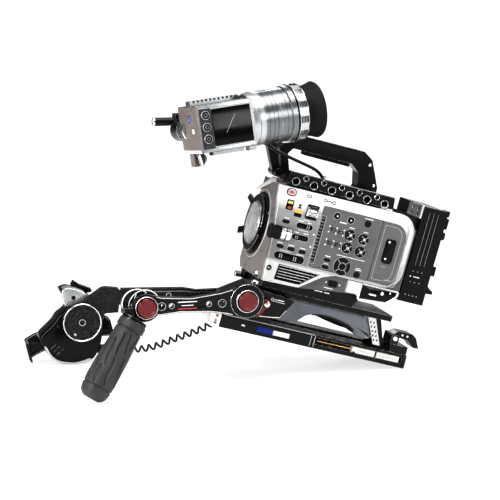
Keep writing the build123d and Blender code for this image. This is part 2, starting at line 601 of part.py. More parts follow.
with BuildPart() as pad_strap:
    slab([(184, -90.4), (196, -90.4), (213, -128), (202, -128)], -46.5, -44.8)
    for row in range(5):
        for column in range(2):
            x = 188.4 + 5.2 * column + 2.9 * row
            z = -95 - 6.2 * row
            block((x, x + 2.6), (-48, -44), (z - 3.4, z), mode=Mode.SUBTRACT)

# ---------------------------------------------------------------- tripod plate
with BuildPart() as tripod_plate:
    block((PLATE_FRONT, PLATE_REAR), (-PLATE_HALF, PLATE_HALF), (PLATE_BOTTOM, PLATE_TOP))
    block((112, 251), (-PLATE_HALF, -38), (-146.5, -137), mode=Mode.SUBTRACT)
    block((-20, 240), (-12, 12), (-136, PLATE_TOP), mode=Mode.SUBTRACT)
    block((230, PLATE_REAR), (-45, -9), (PLATE_TOP, -121.5))
    for near in (-44, -13.4):
        block((229.5, 241), (near, near + 3.4), (-122, -107.5))
    disc_y(LATCH_PIVOT, 2, -44, -10)
    with BuildSketch(Plane.XY.offset(PLATE_BOTTOM)):
        with Locations((60, 0), (100, 0), (140, 0)):
            Circle(CHEESE_BIG_R)
    extrude(amount=12, mode=Mode.SUBTRACT)

with BuildPart() as plate_bracket:
    slab([(-50, -134), (-47, -131.5), (-35, -131.5), (-35, -154), (-46, -154.5), (-50, -151)], -50, 50)
    disc_y((-41, -137.5), 1.8, -51, -44, mode=Mode.SUBTRACT)
    block((-43.5, -39.5), (-51, -44), (-150, -141.5), mode=Mode.SUBTRACT)
    block((-51, -40), (-40, 40), (-160, -139), mode=Mode.SUBTRACT)

with BuildPart() as release_wedge:
    block((172, 208), (-49.6, -39), (-146.2, -137.4))
    block((208, 210), (-48.5, -39), (-145.5, -138))
    block((210, 247), (-49.6, -39), (-146.2, -137.4))

with BuildPart() as rear_latch:
    slab(
        [(230, -109), (240, -101.5), (262, -101.5), (269, -106), (277, -120.5), (268, -121), (257, -112),
         (243, -111), (240.5, -117), (230, -117)],
        -40.2, -13.8,
    )
    disc_y(LATCH_PIVOT, 2 + RUN, -42, -12, mode=Mode.SUBTRACT)

# ---------------------------------------------------------------- near arm and handle
ARM_WAIST = [
    (-28, 147), (-49, 141.5), (-92, 136), (-134, 138.8), (-150, 143),
    (-150, 108), (-142, 112.9), (-106, 116), (-64, 114), (-42, 110), (-28, 106),
]
with BuildPart() as near_arm:
    slab(ARM_WAIST, ARM_NEAR, ARM_FAR)
    for centre, radius in ((ARM_REAR, 25), (ARM_FRONT, 19)):
        disc_y(centre, radius, ARM_NEAR, ARM_FAR)
        disc_y(centre, BUTTON_R + 3.2, -105.5, ARM_NEAR)
    for centre in (ARM_REAR, ARM_FRONT):
        disc_y(centre, BUTTON_R + 0.4, -106, ARM_NEAR + 2, mode=Mode.SUBTRACT)
        disc_y(centre, 8 + RUN, ARM_NEAR, ARM_FAR, mode=Mode.SUBTRACT)
    for x in (-134, -120, -67, -48):
        disc_y((x, 126), 3, ARM_NEAR, ARM_FAR, mode=Mode.SUBTRACT)


def lock_button(centre):
    with BuildPart() as button:
        disc_y(centre, BUTTON_R, -108.8, ARM_NEAR - 1.2)
        fillet(button.faces().sort_by(Axis.Y)[0].edges(), 1.5)
        disc_y(centre, 8, ARM_NEAR - 1.2, -97.5)
    return button


arm_lock_button = lock_button(ARM_REAR)
handle_lock_button = lock_button(ARM_FRONT)

with BuildPart() as handle_core:
    disc_y(ARM_FRONT, 23, -91.6, -80)
    disc_y((-167, 129.5), 20.5, -91.6, -80)
    slab([(-187, 127), (-175.2, 127), (-174.5, 116), (-172, 100), (-187, 100)], -107, -80)
    disc_y(ARM_FRONT, 6, -94, -91.6)
    below = Cylinder(40, 60, align=(Align.CENTER, Align.CENTER, Align.MAX), mode=Mode.PRIVATE)
    add(HANDLE * below, mode=Mode.SUBTRACT)
    cap = Cylinder(18.4, 5, align=(Align.CENTER, Align.CENTER, Align.MAX), mode=Mode.PRIVATE)
    stem = Cylinder(9, 110, align=(Align.CENTER, Align.CENTER, Align.MAX), mode=Mode.PRIVATE)
    add(HANDLE * cap)
    add(HANDLE * stem)

with BuildPart() as handle_grip:
    with BuildSketch(Plane.XZ):
        with BuildLine():
            Polyline([
                (9, -5.2), (18.6, -5.2), (19.2, -12), (18.4, -14), (19, -30), (20.5, -60), (21.2, -95),
                (20.2, -108),
            ])
            ThreePointArc((20.2, -108), (18.2, -118), (12.5, -HANDLE_LENGTH))
            Polyline([(12.5, -HANDLE_LENGTH), (0, -HANDLE_LENGTH), (0, -110), (9, -110), (9, -5.2)])
        make_face()
    revolve(axis=Axis.Z)

# ---------------------------------------------------------------- far arm and hand grip
with BuildPart() as far_arm:
    slab(
        [(-156, 116), (-62, 112.5), (-40, 108), (62, 108), (62, 92), (-40, 94), (-62, 90), (-156, 92)],
        84, 94,
    )
    disc_y(FAR_ARM_HUB, 17, 84, 94)
    disc_y(FAR_ARM_HUB, 4 + RUN, 83, 95, mode=Mode.SUBTRACT)

with BuildPart() as grip_extension:
    slab(
        [(-185.8, 118), (-179.8, 119.5), (-160.2, 117), (-156.4, 112), (-160.7, 80.2), (-180.4, 79.7),
         (-190, 60), (-233, 86)],
        84, 95.5,
    )
    slab([(-160.7, 92), (-156.2, 92), (-156.2, 112), (-160.7, 112)], 84, 94)
    disc_y(GRIP_AXIS, 28.5, 82, 95.5)
    disc_y(GRIP_AXIS, 25.5, 81, 83, mode=Mode.SUBTRACT)

GRIP_OUTLINE = [
    (-245, 113), (-242, 117), (-229, 117.5), (-200, 104), (-186, 90), (-183, 70), (-181, 50),
    (-184, 30), (-192, 12), (-200, 5), (-211, 3), (-228, 1.2), (-250, 4), (-262, 14), (-273, 28),
    (-281, 47.5), (-273, 50), (-256, 65), (-249, 76), (-234, 87), (-233, 97),
]
BUTTON_SPOT = (-225.5, 103.5)
ROCKER_PIVOT = (-211.5, 107.0)
with BuildPart() as hand_grip:
    slab(GRIP_OUTLINE, GRIP_NEAR, GRIP_FAR)
    disc_y(BUTTON_SPOT, 3.4, GRIP_NEAR - 1, GRIP_NEAR + 3, mode=Mode.SUBTRACT)
    slab([(-230, 109), (-200, 95.5), (-188, 112), (-224, 128)], 121, GRIP_FAR, mode=Mode.SUBTRACT)
    disc_y(ROCKER_PIVOT, 1.8, 119, GRIP_FAR - 1)
    disc_x((104, 22), 6.5, -190, -170)
    block((-288.4, -274), (114, 122), (21, 34))
    block((-186, -168.3), (114, 122), (42, 50))
    disc_y(GRIP_AXIS, 20, 95.8, GRIP_NEAR)

with BuildPart() as grip_button:
    disc_y(BUTTON_SPOT, 3, GRIP_NEAR - 1.2, GRIP_NEAR + 1.6)

with BuildPart() as zoom_rocker:
    slab(
        [(-225, 117), (-221, 124), (-212, 117.5), (-194, 110), (-194, 105.5), (-212, 103.5), (-219, 109)],
        122, GRIP_FAR - 1.5,
    )
    disc_y(ROCKER_PIVOT, 1.8 + RUN, 120, GRIP_FAR, mode=Mode.SUBTRACT)

with BuildPart() as hand_strap:
    with BuildSketch(Plane.XY.offset(-STRAP_WIDTH / 2)):
        for reach, mode in ((66, Mode.ADD), (62, Mode.SUBTRACT)):
            with BuildLine():
                Line((-reach, 112), (-reach, 140))
                ThreePointArc((-reach, 140), (0, 108 + reach), (reach, 140))
                Line((reach, 140), (reach, 112))
                Line((reach, 112), (-reach, 112))
            make_face(mode=mode)
    extrude(amount=STRAP_WIDTH)

# ---------------------------------------------------------------- cords
evf_cable = cord_tube("evf_cable", EVF_CABLE_ROUTE, EVF_CABLE_D)
coiled_cable = cord_tube("coiled_cable", COIL_ROUTE, COIL_D)

# ---------------------------------------------------------------- placing and export
in_camera_frame = {
    "body_shell": body_shell, "front_housing": front_housing, "lens_lock_ring": lens_lock_ring,
    "body_cap": body_cap, "side_panel": side_panel, "control_panel": control_panel,
    "media_door": media_door, "vent_grille": vent_grille, "record_button": record_button,
    "push_buttons": push_buttons, "toggle_switches": toggle_switches, "nd_dial": nd_dial,
    "menu_wheel": menu_wheel, "power_switch": power_switch, "port_flap": port_flap,
    "image_sensor": image_sensor, "nd_filter_wheel": nd_filter_wheel, "main_board": main_board,
    "cooling_fan": cooling_fan, "cheese_plate": cheese_plate, "top_handle": top_handle,
    "handle_rubber": handle_rubber, "battery_adapter": battery_adapter,
    "battery_release": battery_release, "rear_bracket": rear_bracket, "base_plate": base_plate,
    "rosette_block": rosette_block, "release_lever": release_lever, "shoulder_pad": shoulder_pad,
    "pad_strap": pad_strap, "tripod_plate": tripod_plate, "plate_bracket": plate_bracket,
    "release_wedge": release_wedge, "rear_latch": rear_latch,
}
for number, audio_knob in enumerate(audio_knobs, start=1):
    in_camera_frame[f"audio_knob_{number}"] = audio_knob
in_viewfinder_frame = {
    "evf_body": evf_body, "evf_front_plate": evf_front_plate, "evf_buttons": evf_buttons,
}
in_barrel_frame = {
    "evf_barrel": evf_barrel, "evf_focus_ring": evf_focus_ring, "eyecup": eyecup, "evf_lens": evf_lens,
}
in_floor_frame = {
    "evf_link": evf_link, "evf_rod": evf_rod, "near_arm": near_arm,
    "arm_lock_button": arm_lock_button, "handle_lock_button": handle_lock_button,
    "handle_core": handle_core, "far_arm": far_arm, "grip_extension": grip_extension,
    "hand_grip": hand_grip, "grip_button": grip_button, "zoom_rocker": zoom_rocker,
    "evf_cable": evf_cable, "coiled_cable": coiled_cable,
}
CORDS = ("evf_cable", "coiled_cable")

standing = {}
for group, frame in (
    (in_camera_frame, RIG), (in_viewfinder_frame, EVF), (in_barrel_frame, BARREL),
    (in_floor_frame, FLOOR), ({"handle_grip": handle_grip}, HANDLE), ({"hand_strap": hand_strap}, STRAP),
):
    for name, builder in group.items():
        standing[name] = frame * builder.part

# The row's origin is under the middle of the rig's box, measured without its two free cords.
boxes = [piece.bounding_box() for name, piece in standing.items() if name not in CORDS]
row_origin = Vector(
    (min(box.min.X for box in boxes) + max(box.max.X for box in boxes)) / 2,
    (min(box.min.Y for box in boxes) + max(box.max.Y for box in boxes)) / 2,
    min(box.min.Z for box in boxes),
)
print("row origin in the floor frame", [round(value, 3) for value in row_origin])

os.makedirs("parts", exist_ok=True)
for name, piece in standing.items():
    placed = Location(-row_origin) * piece
    placed.label = name
    export_step(placed, f"parts/{name}.step")
print(len(standing), "pieces")
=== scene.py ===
import json
import math

import bmesh
import bpy
from mathutils import Matrix, Vector

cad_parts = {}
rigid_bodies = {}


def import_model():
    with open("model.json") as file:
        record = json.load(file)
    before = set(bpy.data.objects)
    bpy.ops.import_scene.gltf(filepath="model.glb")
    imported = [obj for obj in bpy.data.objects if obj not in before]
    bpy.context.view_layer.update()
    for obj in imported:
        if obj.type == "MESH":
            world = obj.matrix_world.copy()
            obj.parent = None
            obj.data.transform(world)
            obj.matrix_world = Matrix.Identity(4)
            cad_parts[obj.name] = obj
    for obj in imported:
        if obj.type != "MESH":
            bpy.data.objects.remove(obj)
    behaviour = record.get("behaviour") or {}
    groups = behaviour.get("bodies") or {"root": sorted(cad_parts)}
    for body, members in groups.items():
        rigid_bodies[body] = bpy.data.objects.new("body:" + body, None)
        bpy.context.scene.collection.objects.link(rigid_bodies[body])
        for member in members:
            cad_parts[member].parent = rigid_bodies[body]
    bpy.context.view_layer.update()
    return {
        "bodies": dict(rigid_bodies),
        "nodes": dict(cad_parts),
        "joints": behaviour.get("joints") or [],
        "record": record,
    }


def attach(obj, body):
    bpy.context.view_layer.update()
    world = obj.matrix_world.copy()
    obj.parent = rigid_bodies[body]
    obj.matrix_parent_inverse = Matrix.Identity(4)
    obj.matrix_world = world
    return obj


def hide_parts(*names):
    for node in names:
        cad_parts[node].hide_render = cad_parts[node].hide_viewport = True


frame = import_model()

# Cinema camera rig. Pieces are drawn in millimetres, in the frame of what they sit on, and
# placed through that frame's matrix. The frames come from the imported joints.

scene = bpy.context.scene
MM = Matrix.Scale(0.001, 4)
JOINTS = {joint["name"]: joint for joint in frame["joints"]}


def joint_point(name):
    return Vector(JOINTS[name]["pos_m"])


def joint_axis(name):
    return Vector(JOINTS[name]["axis"]).normalized()


def frame_at(x_axis, y_axis, point, local):
    """Frame with these axes in which the local point, in millimetres, lies at point."""
    turn = Matrix((x_axis, y_axis, x_axis.cross(y_axis))).transposed().to_4x4()
    return Matrix.Translation(point - turn @ (Vector(local) * 0.001)) @ turn @ MM


RIG = frame_at(joint_axis("lock_ring_turn"), Vector((0, 1, 0)), joint_point("lock_ring_turn"), (-7, 8, 0))
EVF = frame_at(joint_axis("focus_ring_turn"), joint_axis("evf_buttons_press"),
               joint_point("focus_ring_turn"), (114, 0, 2.2))
FLOOR = Matrix.Translation(joint_point("near_arm_swing") - Vector((-0.012, -0.097, 0.127))) @ MM
BARREL = EVF @ Matrix.Translation((0, 0, 2.2))


def facing(u_axis, v_axis, at=(0, 0, 0)):
    """Local frame whose first two axes lie in a face and whose third points out of it."""
    u, v = Vector(u_axis), Vector(v_axis)
    return Matrix.Translation(at) @ Matrix((u, v, u.cross(v))).transposed().to_4x4()


SIDE = facing((1, 0, 0), (0, 0, 1))         # operator's side: u = X, v = Z, w = -Y
FRONT = facing((0, -1, 0), (0, 0, 1))       # u = -Y, v = Z, w = -X
REAR = facing((0, 1, 0), (0, 0, 1))         # u = Y, v = Z, w = X
FAR = facing((-1, 0, 0), (0, 0, 1))         # u = -X, v = Z, w = Y
TOP = Matrix.Identity(4)


# ---------------------------------------------------------------- outlines
def circle(radius, at=(0, 0), steps=48):
    """Outline of a circle, as all outlines a list of points in a face's own u and v."""
    return [(at[0] + radius * math.cos(2 * math.pi * i / steps),
             at[1] + radius * math.sin(2 * math.pi * i / steps)) for i in range(steps)]


def box_outline(u0, u1, v0, v1):
    return [(u0, v0), (u1, v0), (u1, v1), (u0, v1)]


def soft_box(u0, u1, v0, v1, radius):
    return rounded(box_outline(u0, u1, v0, v1), radius)


def rounded(points, radius, steps=6):
    """The same closed outline with its corners rounded."""
    out = []
    count = len(points)
    radii = radius if isinstance(radius, (list, tuple)) else [radius] * count
    for i, here in enumerate(points):
        before, after = Vector(points[i - 1]), Vector(points[(i + 1) % count])
        corner = Vector(here)
        a, b = before - corner, after - corner
        angle = a.angle(b)
        if radii[i] <= 0 or angle > math.pi - 0.02:
            out.append(tuple(corner))
            continue
        reach = min(radii[i] / math.tan(angle / 2), 0.48 * a.length, 0.48 * b.length)
        r = reach * math.tan(angle / 2)
        middle = corner + (a.normalized() + b.normalized()).normalized() * (r / math.sin(angle / 2))
        start, end = corner + a.normalized() * reach - middle, corner + b.normalized() * reach - middle
        sweep = start.angle_signed(end)
        for k in range(steps + 1):
            t = -sweep * k / steps
            x, y = start
            out.append((middle.x + x * math.cos(t) - y * math.sin(t),
                        middle.y + x * math.sin(t) + y * math.cos(t)))
    return out


def pill(u, v, length, height, steps=10):
    return rounded(box_outline(u - length / 2, u + length / 2, v - height / 2, v + height / 2),
                   height * 0.499, steps)


def flowing(points, per_side=6):
    """Closed smooth curve through the points."""
    out = []
    count = len(points)
    for i in range(count):
        p0, p1, p2, p3 = (Vector(points[(i + k - 1) % count]) for k in range(4))
        for k in range(per_side):
            t = k / per_side
            q = 0.5 * ((2 * p1) + (p2 - p0) * t + (2 * p0 - 5 * p1 + 4 * p2 - p3) * t**2
                       + (3 * p1 - p0 - 3 * p2 + p3) * t**3)
            out.append(tuple(q))
    return out


def inset(points, amount):
    """The outline moved inwards by an amount."""
    if not amount:
        return list(points)
    area = sum(a[0] * b[1] - b[0] * a[1] for a, b in zip(points, points[1:] + points[:1]))
    side = 1 if area > 0 else -1
    out = []
    count = len(points)
    for i in range(count):
        here = Vector(points[i])
        a = (here - Vector(points[i - 1]))
        b = (Vector(points[(i + 1) % count]) - here)
        na = Vector((-a.y, a.x)).normalized() * side
        nb = Vector((-b.y, b.x)).normalized() * side
        n = na + nb
        if n.length < 1e-6:
            n = na
        n.normalize()
        scale = 1 / max(0.5, n.dot(na))
        out.append(tuple(here + n * amount * scale))
    return out


# ---------------------------------------------------------------- solids in a bmesh
def add_layers(bm, rings, local=TOP, ends=True):
    """Skin through rings of equally many 3-D points, closed at both ends."""
    rows = [[bm.verts.new(local @ Vector(p)) for p in ring] for ring in rings]
    for low, high in zip(rows, rows[1:]):
        for i in range(len(low)):
            j = (i + 1) % len(low)
            bm.faces.new((low[i], low[j], high[j], high[i]))
    if ends:
        bm.faces.new(reversed(rows[0]))
        bm.faces.new(rows[-1])
    return rows


def add_prism(bm, outline, low, high, rim=0.0, local=TOP, steps=3, foot=0.0):
    """Prism between two heights over a face, its upper rim rounded by rim, its lower by foot."""
    levels = []
    if foot:
        for k in range(steps + 1):
            t = math.pi / 2 * k / steps
            levels.append((foot * (1 - math.sin(t)), low + foot * (1 - math.cos(t))))
    else:
        levels.append((0.0, low))
    if rim:
        for k in range(steps + 1):
            t = math.pi / 2 * k / steps
            levels.append((rim * (1 - math.cos(t)), high - rim * (1 - math.sin(t))))
    else:
        levels.append((0.0, high))
    add_layers(bm, [[(u, v, w) for u, v in inset(outline, back)] for back, w in levels], local)


def add_ring(bm, outer, inner, low, high, local=TOP, rim=0.3):
    """Flat ring between two outlines with equally many points."""
    def at(outline, w):
        return [bm.verts.new(local @ Vector((u, v, w))) for u, v in outline]
    loops = [at(outer, low), at(outer, high - rim), at(inset(outer, rim), high),
             at(inset(inner, -rim), high), at(inner, high - rim), at(inner, low)]
    for a, b in zip(loops, loops[1:] + loops[:1]):
        for i in range(len(a)):
            j = (i + 1) % len(a)
            bm.faces.new((a[i], a[j], b[j], b[i]))


def add_lathe(bm, profile, local=TOP, steps=64):
    """Closed profile of (height, radius) pairs turned about the local Z axis."""
    rings = []
    for k in range(steps):
        t = 2 * math.pi * k / steps
        rings.append([bm.verts.new(local @ Vector((r * math.cos(t), r * math.sin(t), h)))
                      for h, r in profile])
    for k in range(steps):
        a, b = rings[k], rings[(k + 1) % steps]
        for i in range(len(profile)):
            j = (i + 1) % len(profile)
            bm.faces.new((a[i], b[i], b[j], a[j]))


def add_box(bm, lo, hi, local=TOP, edge=0.0):
    """Box between two corners, with all its rims rounded by edge."""
    add_prism(bm, box_outline(lo[0], hi[0], lo[1], hi[1]), lo[2], hi[2], local=local,
              rim=edge, foot=edge, steps=2)


def rounded_slab(bm, outline, near, far, edge, local=SIDE, levels=5):
    """Slab along Y between near and far with well rounded rims."""
    add_prism(bm, outline, -far, -near, edge, local, levels, foot=edge)


def along_x(at):
    """Frame whose Z runs along the parent's X."""
    return facing((0, 1, 0), (0, 0, 1), at)


def piece(name, bm, place, body, material, smooth=38.0):
    """Makes the bmesh, drawn in millimetres in place's frame, a piece that rides on a body."""
    bmesh.ops.remove_doubles(bm, verts=bm.verts, dist=1e-4)
    bmesh.ops.dissolve_degenerate(bm, edges=bm.edges, dist=1e-4)
    bmesh.ops.recalc_face_normals(bm, faces=bm.faces)
    bmesh.ops.triangulate(bm, faces=[f for f in bm.faces if len(f.verts) > 4])
    mesh = bpy.data.meshes.new(name)
    bm.to_mesh(mesh)
    bm.free()
    mesh.transform(place)
    mesh.shade_smooth()
    mesh.set_sharp_from_angle(angle=math.radians(smooth))
    obj = bpy.data.objects.new(name, mesh)
    scene.collection.objects.link(obj)
    obj.data.materials.append(material)
    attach(obj, body)
    return obj


# ---------------------------------------------------------------- materials
def node(tree, kind, inputs=None, **settings):
    item = tree.nodes.new("ShaderNode" + kind)
    for key, value in settings.items():
        setattr(item, key, value)
    for key, value in (inputs or {}).items():
        socket = item.inputs[key]
        if isinstance(value, bpy.types.NodeSocket):
            tree.links.new(value, socket)
        else:
            socket.default_value = value
    return item


def only(tree, kind):
    """The node of a type of which the tree holds one."""
    return next(item for item in tree.nodes if item.type == kind)


def math_node(tree, operation, a, b=0.0, clamp=False):
    item = node(tree, "Math", {0: a, 1: b}, operation=operation)
    item.use_clamp = clamp
    return item.outputs[0]


def ramp(tree, value, low, high, to_low=0.0, to_high=1.0):
    return node(tree, "MapRange", {"Value": value, "From Min": low, "From Max": high,
                                   "To Min": to_low, "To Max": to_high}).outputs["Result"]


def mixed(tree, factor, a, b):
    item = tree.nodes.new("ShaderNodeMix")
    item.data_type = "RGBA"
    for socket, value in ((item.inputs[0], factor), (item.inputs[6], a), (item.inputs[7], b)):
        if isinstance(value, bpy.types.NodeSocket):
            tree.links.new(value, socket)
        elif isinstance(value, (tuple, list)):
            socket.default_value = (*value[:3], 1.0)
        else:
            socket.default_value = value
    return item.outputs[2]


def along(tree, coord, axis, scale):
    """Distance along an axis, in units of 1 / scale metres."""
    dot = node(tree, "VectorMath", {0: coord, 1: tuple(axis)}, operation="DOT_PRODUCT").outputs["Value"]
    return math_node(tree, "MULTIPLY", dot, scale)


def surface(name, colour, rough, metallic=0.0, grain=1400.0, bump=0.12, vary=0.14, wear_and_highlight=0.0,
            wear_and_highlight_colour=(0.55, 0.55, 0.55), coat=0.0, smudge=0.1, pattern=None, specular=0.5,
            second=None, edge=0.0006, sheen=0.0, painted_light_zones=()):
    """Finish with uneven tone, grain, smudges and lighter edges, which are worn edges and, where
    wear_and_highlight is high, also painted edge highlights. pattern(tree, coord) gives a height.
    painted_light_zones are painted light and shade, as (matrix, axis, low, high, colour): beyond high
    along that axis, in millimetres, the colour takes over from what is below low."""
    material = bpy.data.materials.new(name)
    material.use_nodes = True
    tree = material.node_tree
    tree.nodes.clear()
    coord = node(tree, "TexCoord").outputs["Object"]
    broad = node(tree, "TexNoise", {"Vector": coord, "Scale": 42.0, "Detail": 5.0}).outputs["Fac"]
    fine = node(tree, "TexNoise", {"Vector": coord, "Scale": grain, "Detail": 2.0}).outputs["Fac"]
    tone = ramp(tree, broad, 0.3, 0.7, 1 - vary, 1 + vary)
    base = tuple(colour)
    # Each zone paints light and shade: along an axis the base colour ramps to the zone's colour.
    for place, axis, low, high, painted_light_colour in painted_light_zones:
        column = place.col[axis].to_3d()
        origin = place.translation.dot(column) / column.length_squared
        run = along(tree, coord, column.normalized(), 1 / column.length)
        base = mixed(tree, ramp(tree, run, origin + low, origin + high), base, painted_light_colour)
    if second is not None:
        spots = ramp(tree, node(tree, "TexNoise", {"Vector": coord, "Scale": second[1],
                                                   "Detail": 2.0}).outputs["Fac"], 0.56, 0.66)
        base = mixed(tree, spots, base, second[0])
    scaled = node(tree, "VectorMath", {0: base, "Scale": tone}, operation="SCALE").outputs[0]
    roughness = ramp(tree, broad, 0.3, 0.7, max(0.03, rough - smudge), min(1.0, rough + smudge))
    shader = node(tree, "BsdfPrincipled", {"Metallic": metallic})
    shader.inputs["Specular IOR Level"].default_value = specular
    if coat:
        shader.inputs["Coat Weight"].default_value = coat
        shader.inputs["Coat Roughness"].default_value = 0.08
    if sheen:
        shader.inputs["Sheen Weight"].default_value = sheen
        shader.inputs["Sheen Roughness"].default_value = 0.4
    # Lighter edges: real wear and, on the black anodising with its high setting, also painted edge
    # highlights.
    if wear_and_highlight:
        rim = node(tree, "Bevel", {"Radius": edge}, samples=4).outputs["Normal"]
        flat = node(tree, "NewGeometry").outputs["Normal"]
        same = node(tree, "VectorMath", {0: rim, 1: flat}, operation="DOT_PRODUCT").outputs["Value"]
        edge_wear_and_highlight = ramp(tree, math_node(tree, "SUBTRACT", 1.0, same), 0.03, 0.25)
        patchy = ramp(tree, node(tree, "TexNoise", {"Vector": coord, "Scale": 190.0,
                                                    "Detail": 6.0}).outputs["Fac"],
                      0.62 - 0.3 * wear_and_highlight, 0.7 - 0.2 * wear_and_highlight)
        mask = math_node(tree, "MULTIPLY", edge_wear_and_highlight, patchy, clamp=True)
        scaled = mixed(tree, mask, scaled, wear_and_highlight_colour)
        roughness = node(tree, "Mix", {0: mask, 2: roughness, 3: 0.3}).outputs[0]
        if metallic < 0.5:
            tree.links.new(math_node(tree, "MAXIMUM", mask, metallic), shader.inputs["Metallic"])
    tree.links.new(scaled, shader.inputs["Base Color"])
    tree.links.new(roughness, shader.inputs["Roughness"])
    height = math_node(tree, "MULTIPLY", fine, bump)
    if pattern is not None:
        height = math_node(tree, "ADD", height, pattern(tree, coord))
    bumped = node(tree, "Bump", {"Height": height, "Strength": 0.6, "Distance": 0.0003})
    tree.links.new(bumped.outputs["Normal"], shader.inputs["Normal"])
    out = node(tree, "OutputMaterial")
    tree.links.new(shader.outputs[0], out.inputs[0])
    return material


def brushed(axis):
    """Fine lines across an axis."""
    def height(tree, coord):
        run = along(tree, coord, axis, 6000.0)
        line = node(tree, "TexNoise", {"W": run, "Scale": 1.0, "Detail": 2.0},
                    noise_dimensions="1D").outputs["Fac"]
        return math_node(tree, "MULTIPLY", line, 0.25)
    return height


def cells(scale, depth):
    """Closed-cell foam or leather pebbles."""
    def height(tree, coord):
        spots = node(tree, "TexVoronoi", {"Vector": coord, "Scale": scale}).outputs["Distance"]
        return math_node(tree, "MULTIPLY", spots, depth)
    return height


def woven(first, second, pitch=0.0011, depth=1.3):
    """Plain weave along two directions."""
    def height(tree, coord):
        waves = []
        for axis in (first, second):
            run = along(tree, coord, axis, 2 * math.pi / pitch)
            waves.append(math_node(tree, "SINE", run))
        both = math_node(tree, "MULTIPLY", waves[0], waves[1])
        return math_node(tree, "MULTIPLY", both, depth)
    return height


def glow(name, colour, strength):
    """Small lamp behind a diffuser."""
    material = surface(name, colour, 0.35, bump=0.02, vary=0.06)
    shader = only(material.node_tree, "BSDF_PRINCIPLED")
    shader.inputs["Emission Color"].default_value = (*colour, 1.0)
    shader.inputs["Emission Strength"].default_value = strength
    return material


def clear(name, colour, rough=0.02):
    """Coated glass."""
    material = surface(name, colour, rough, bump=0.01, vary=0.03, smudge=0.015, coat=1.0)
    shader = only(material.node_tree, "BSDF_PRINCIPLED")
    shader.inputs["Transmission Weight"].default_value = 0.9
    shader.inputs["IOR"].default_value = 1.5
    return material


RIG_X = joint_axis("lock_ring_turn")

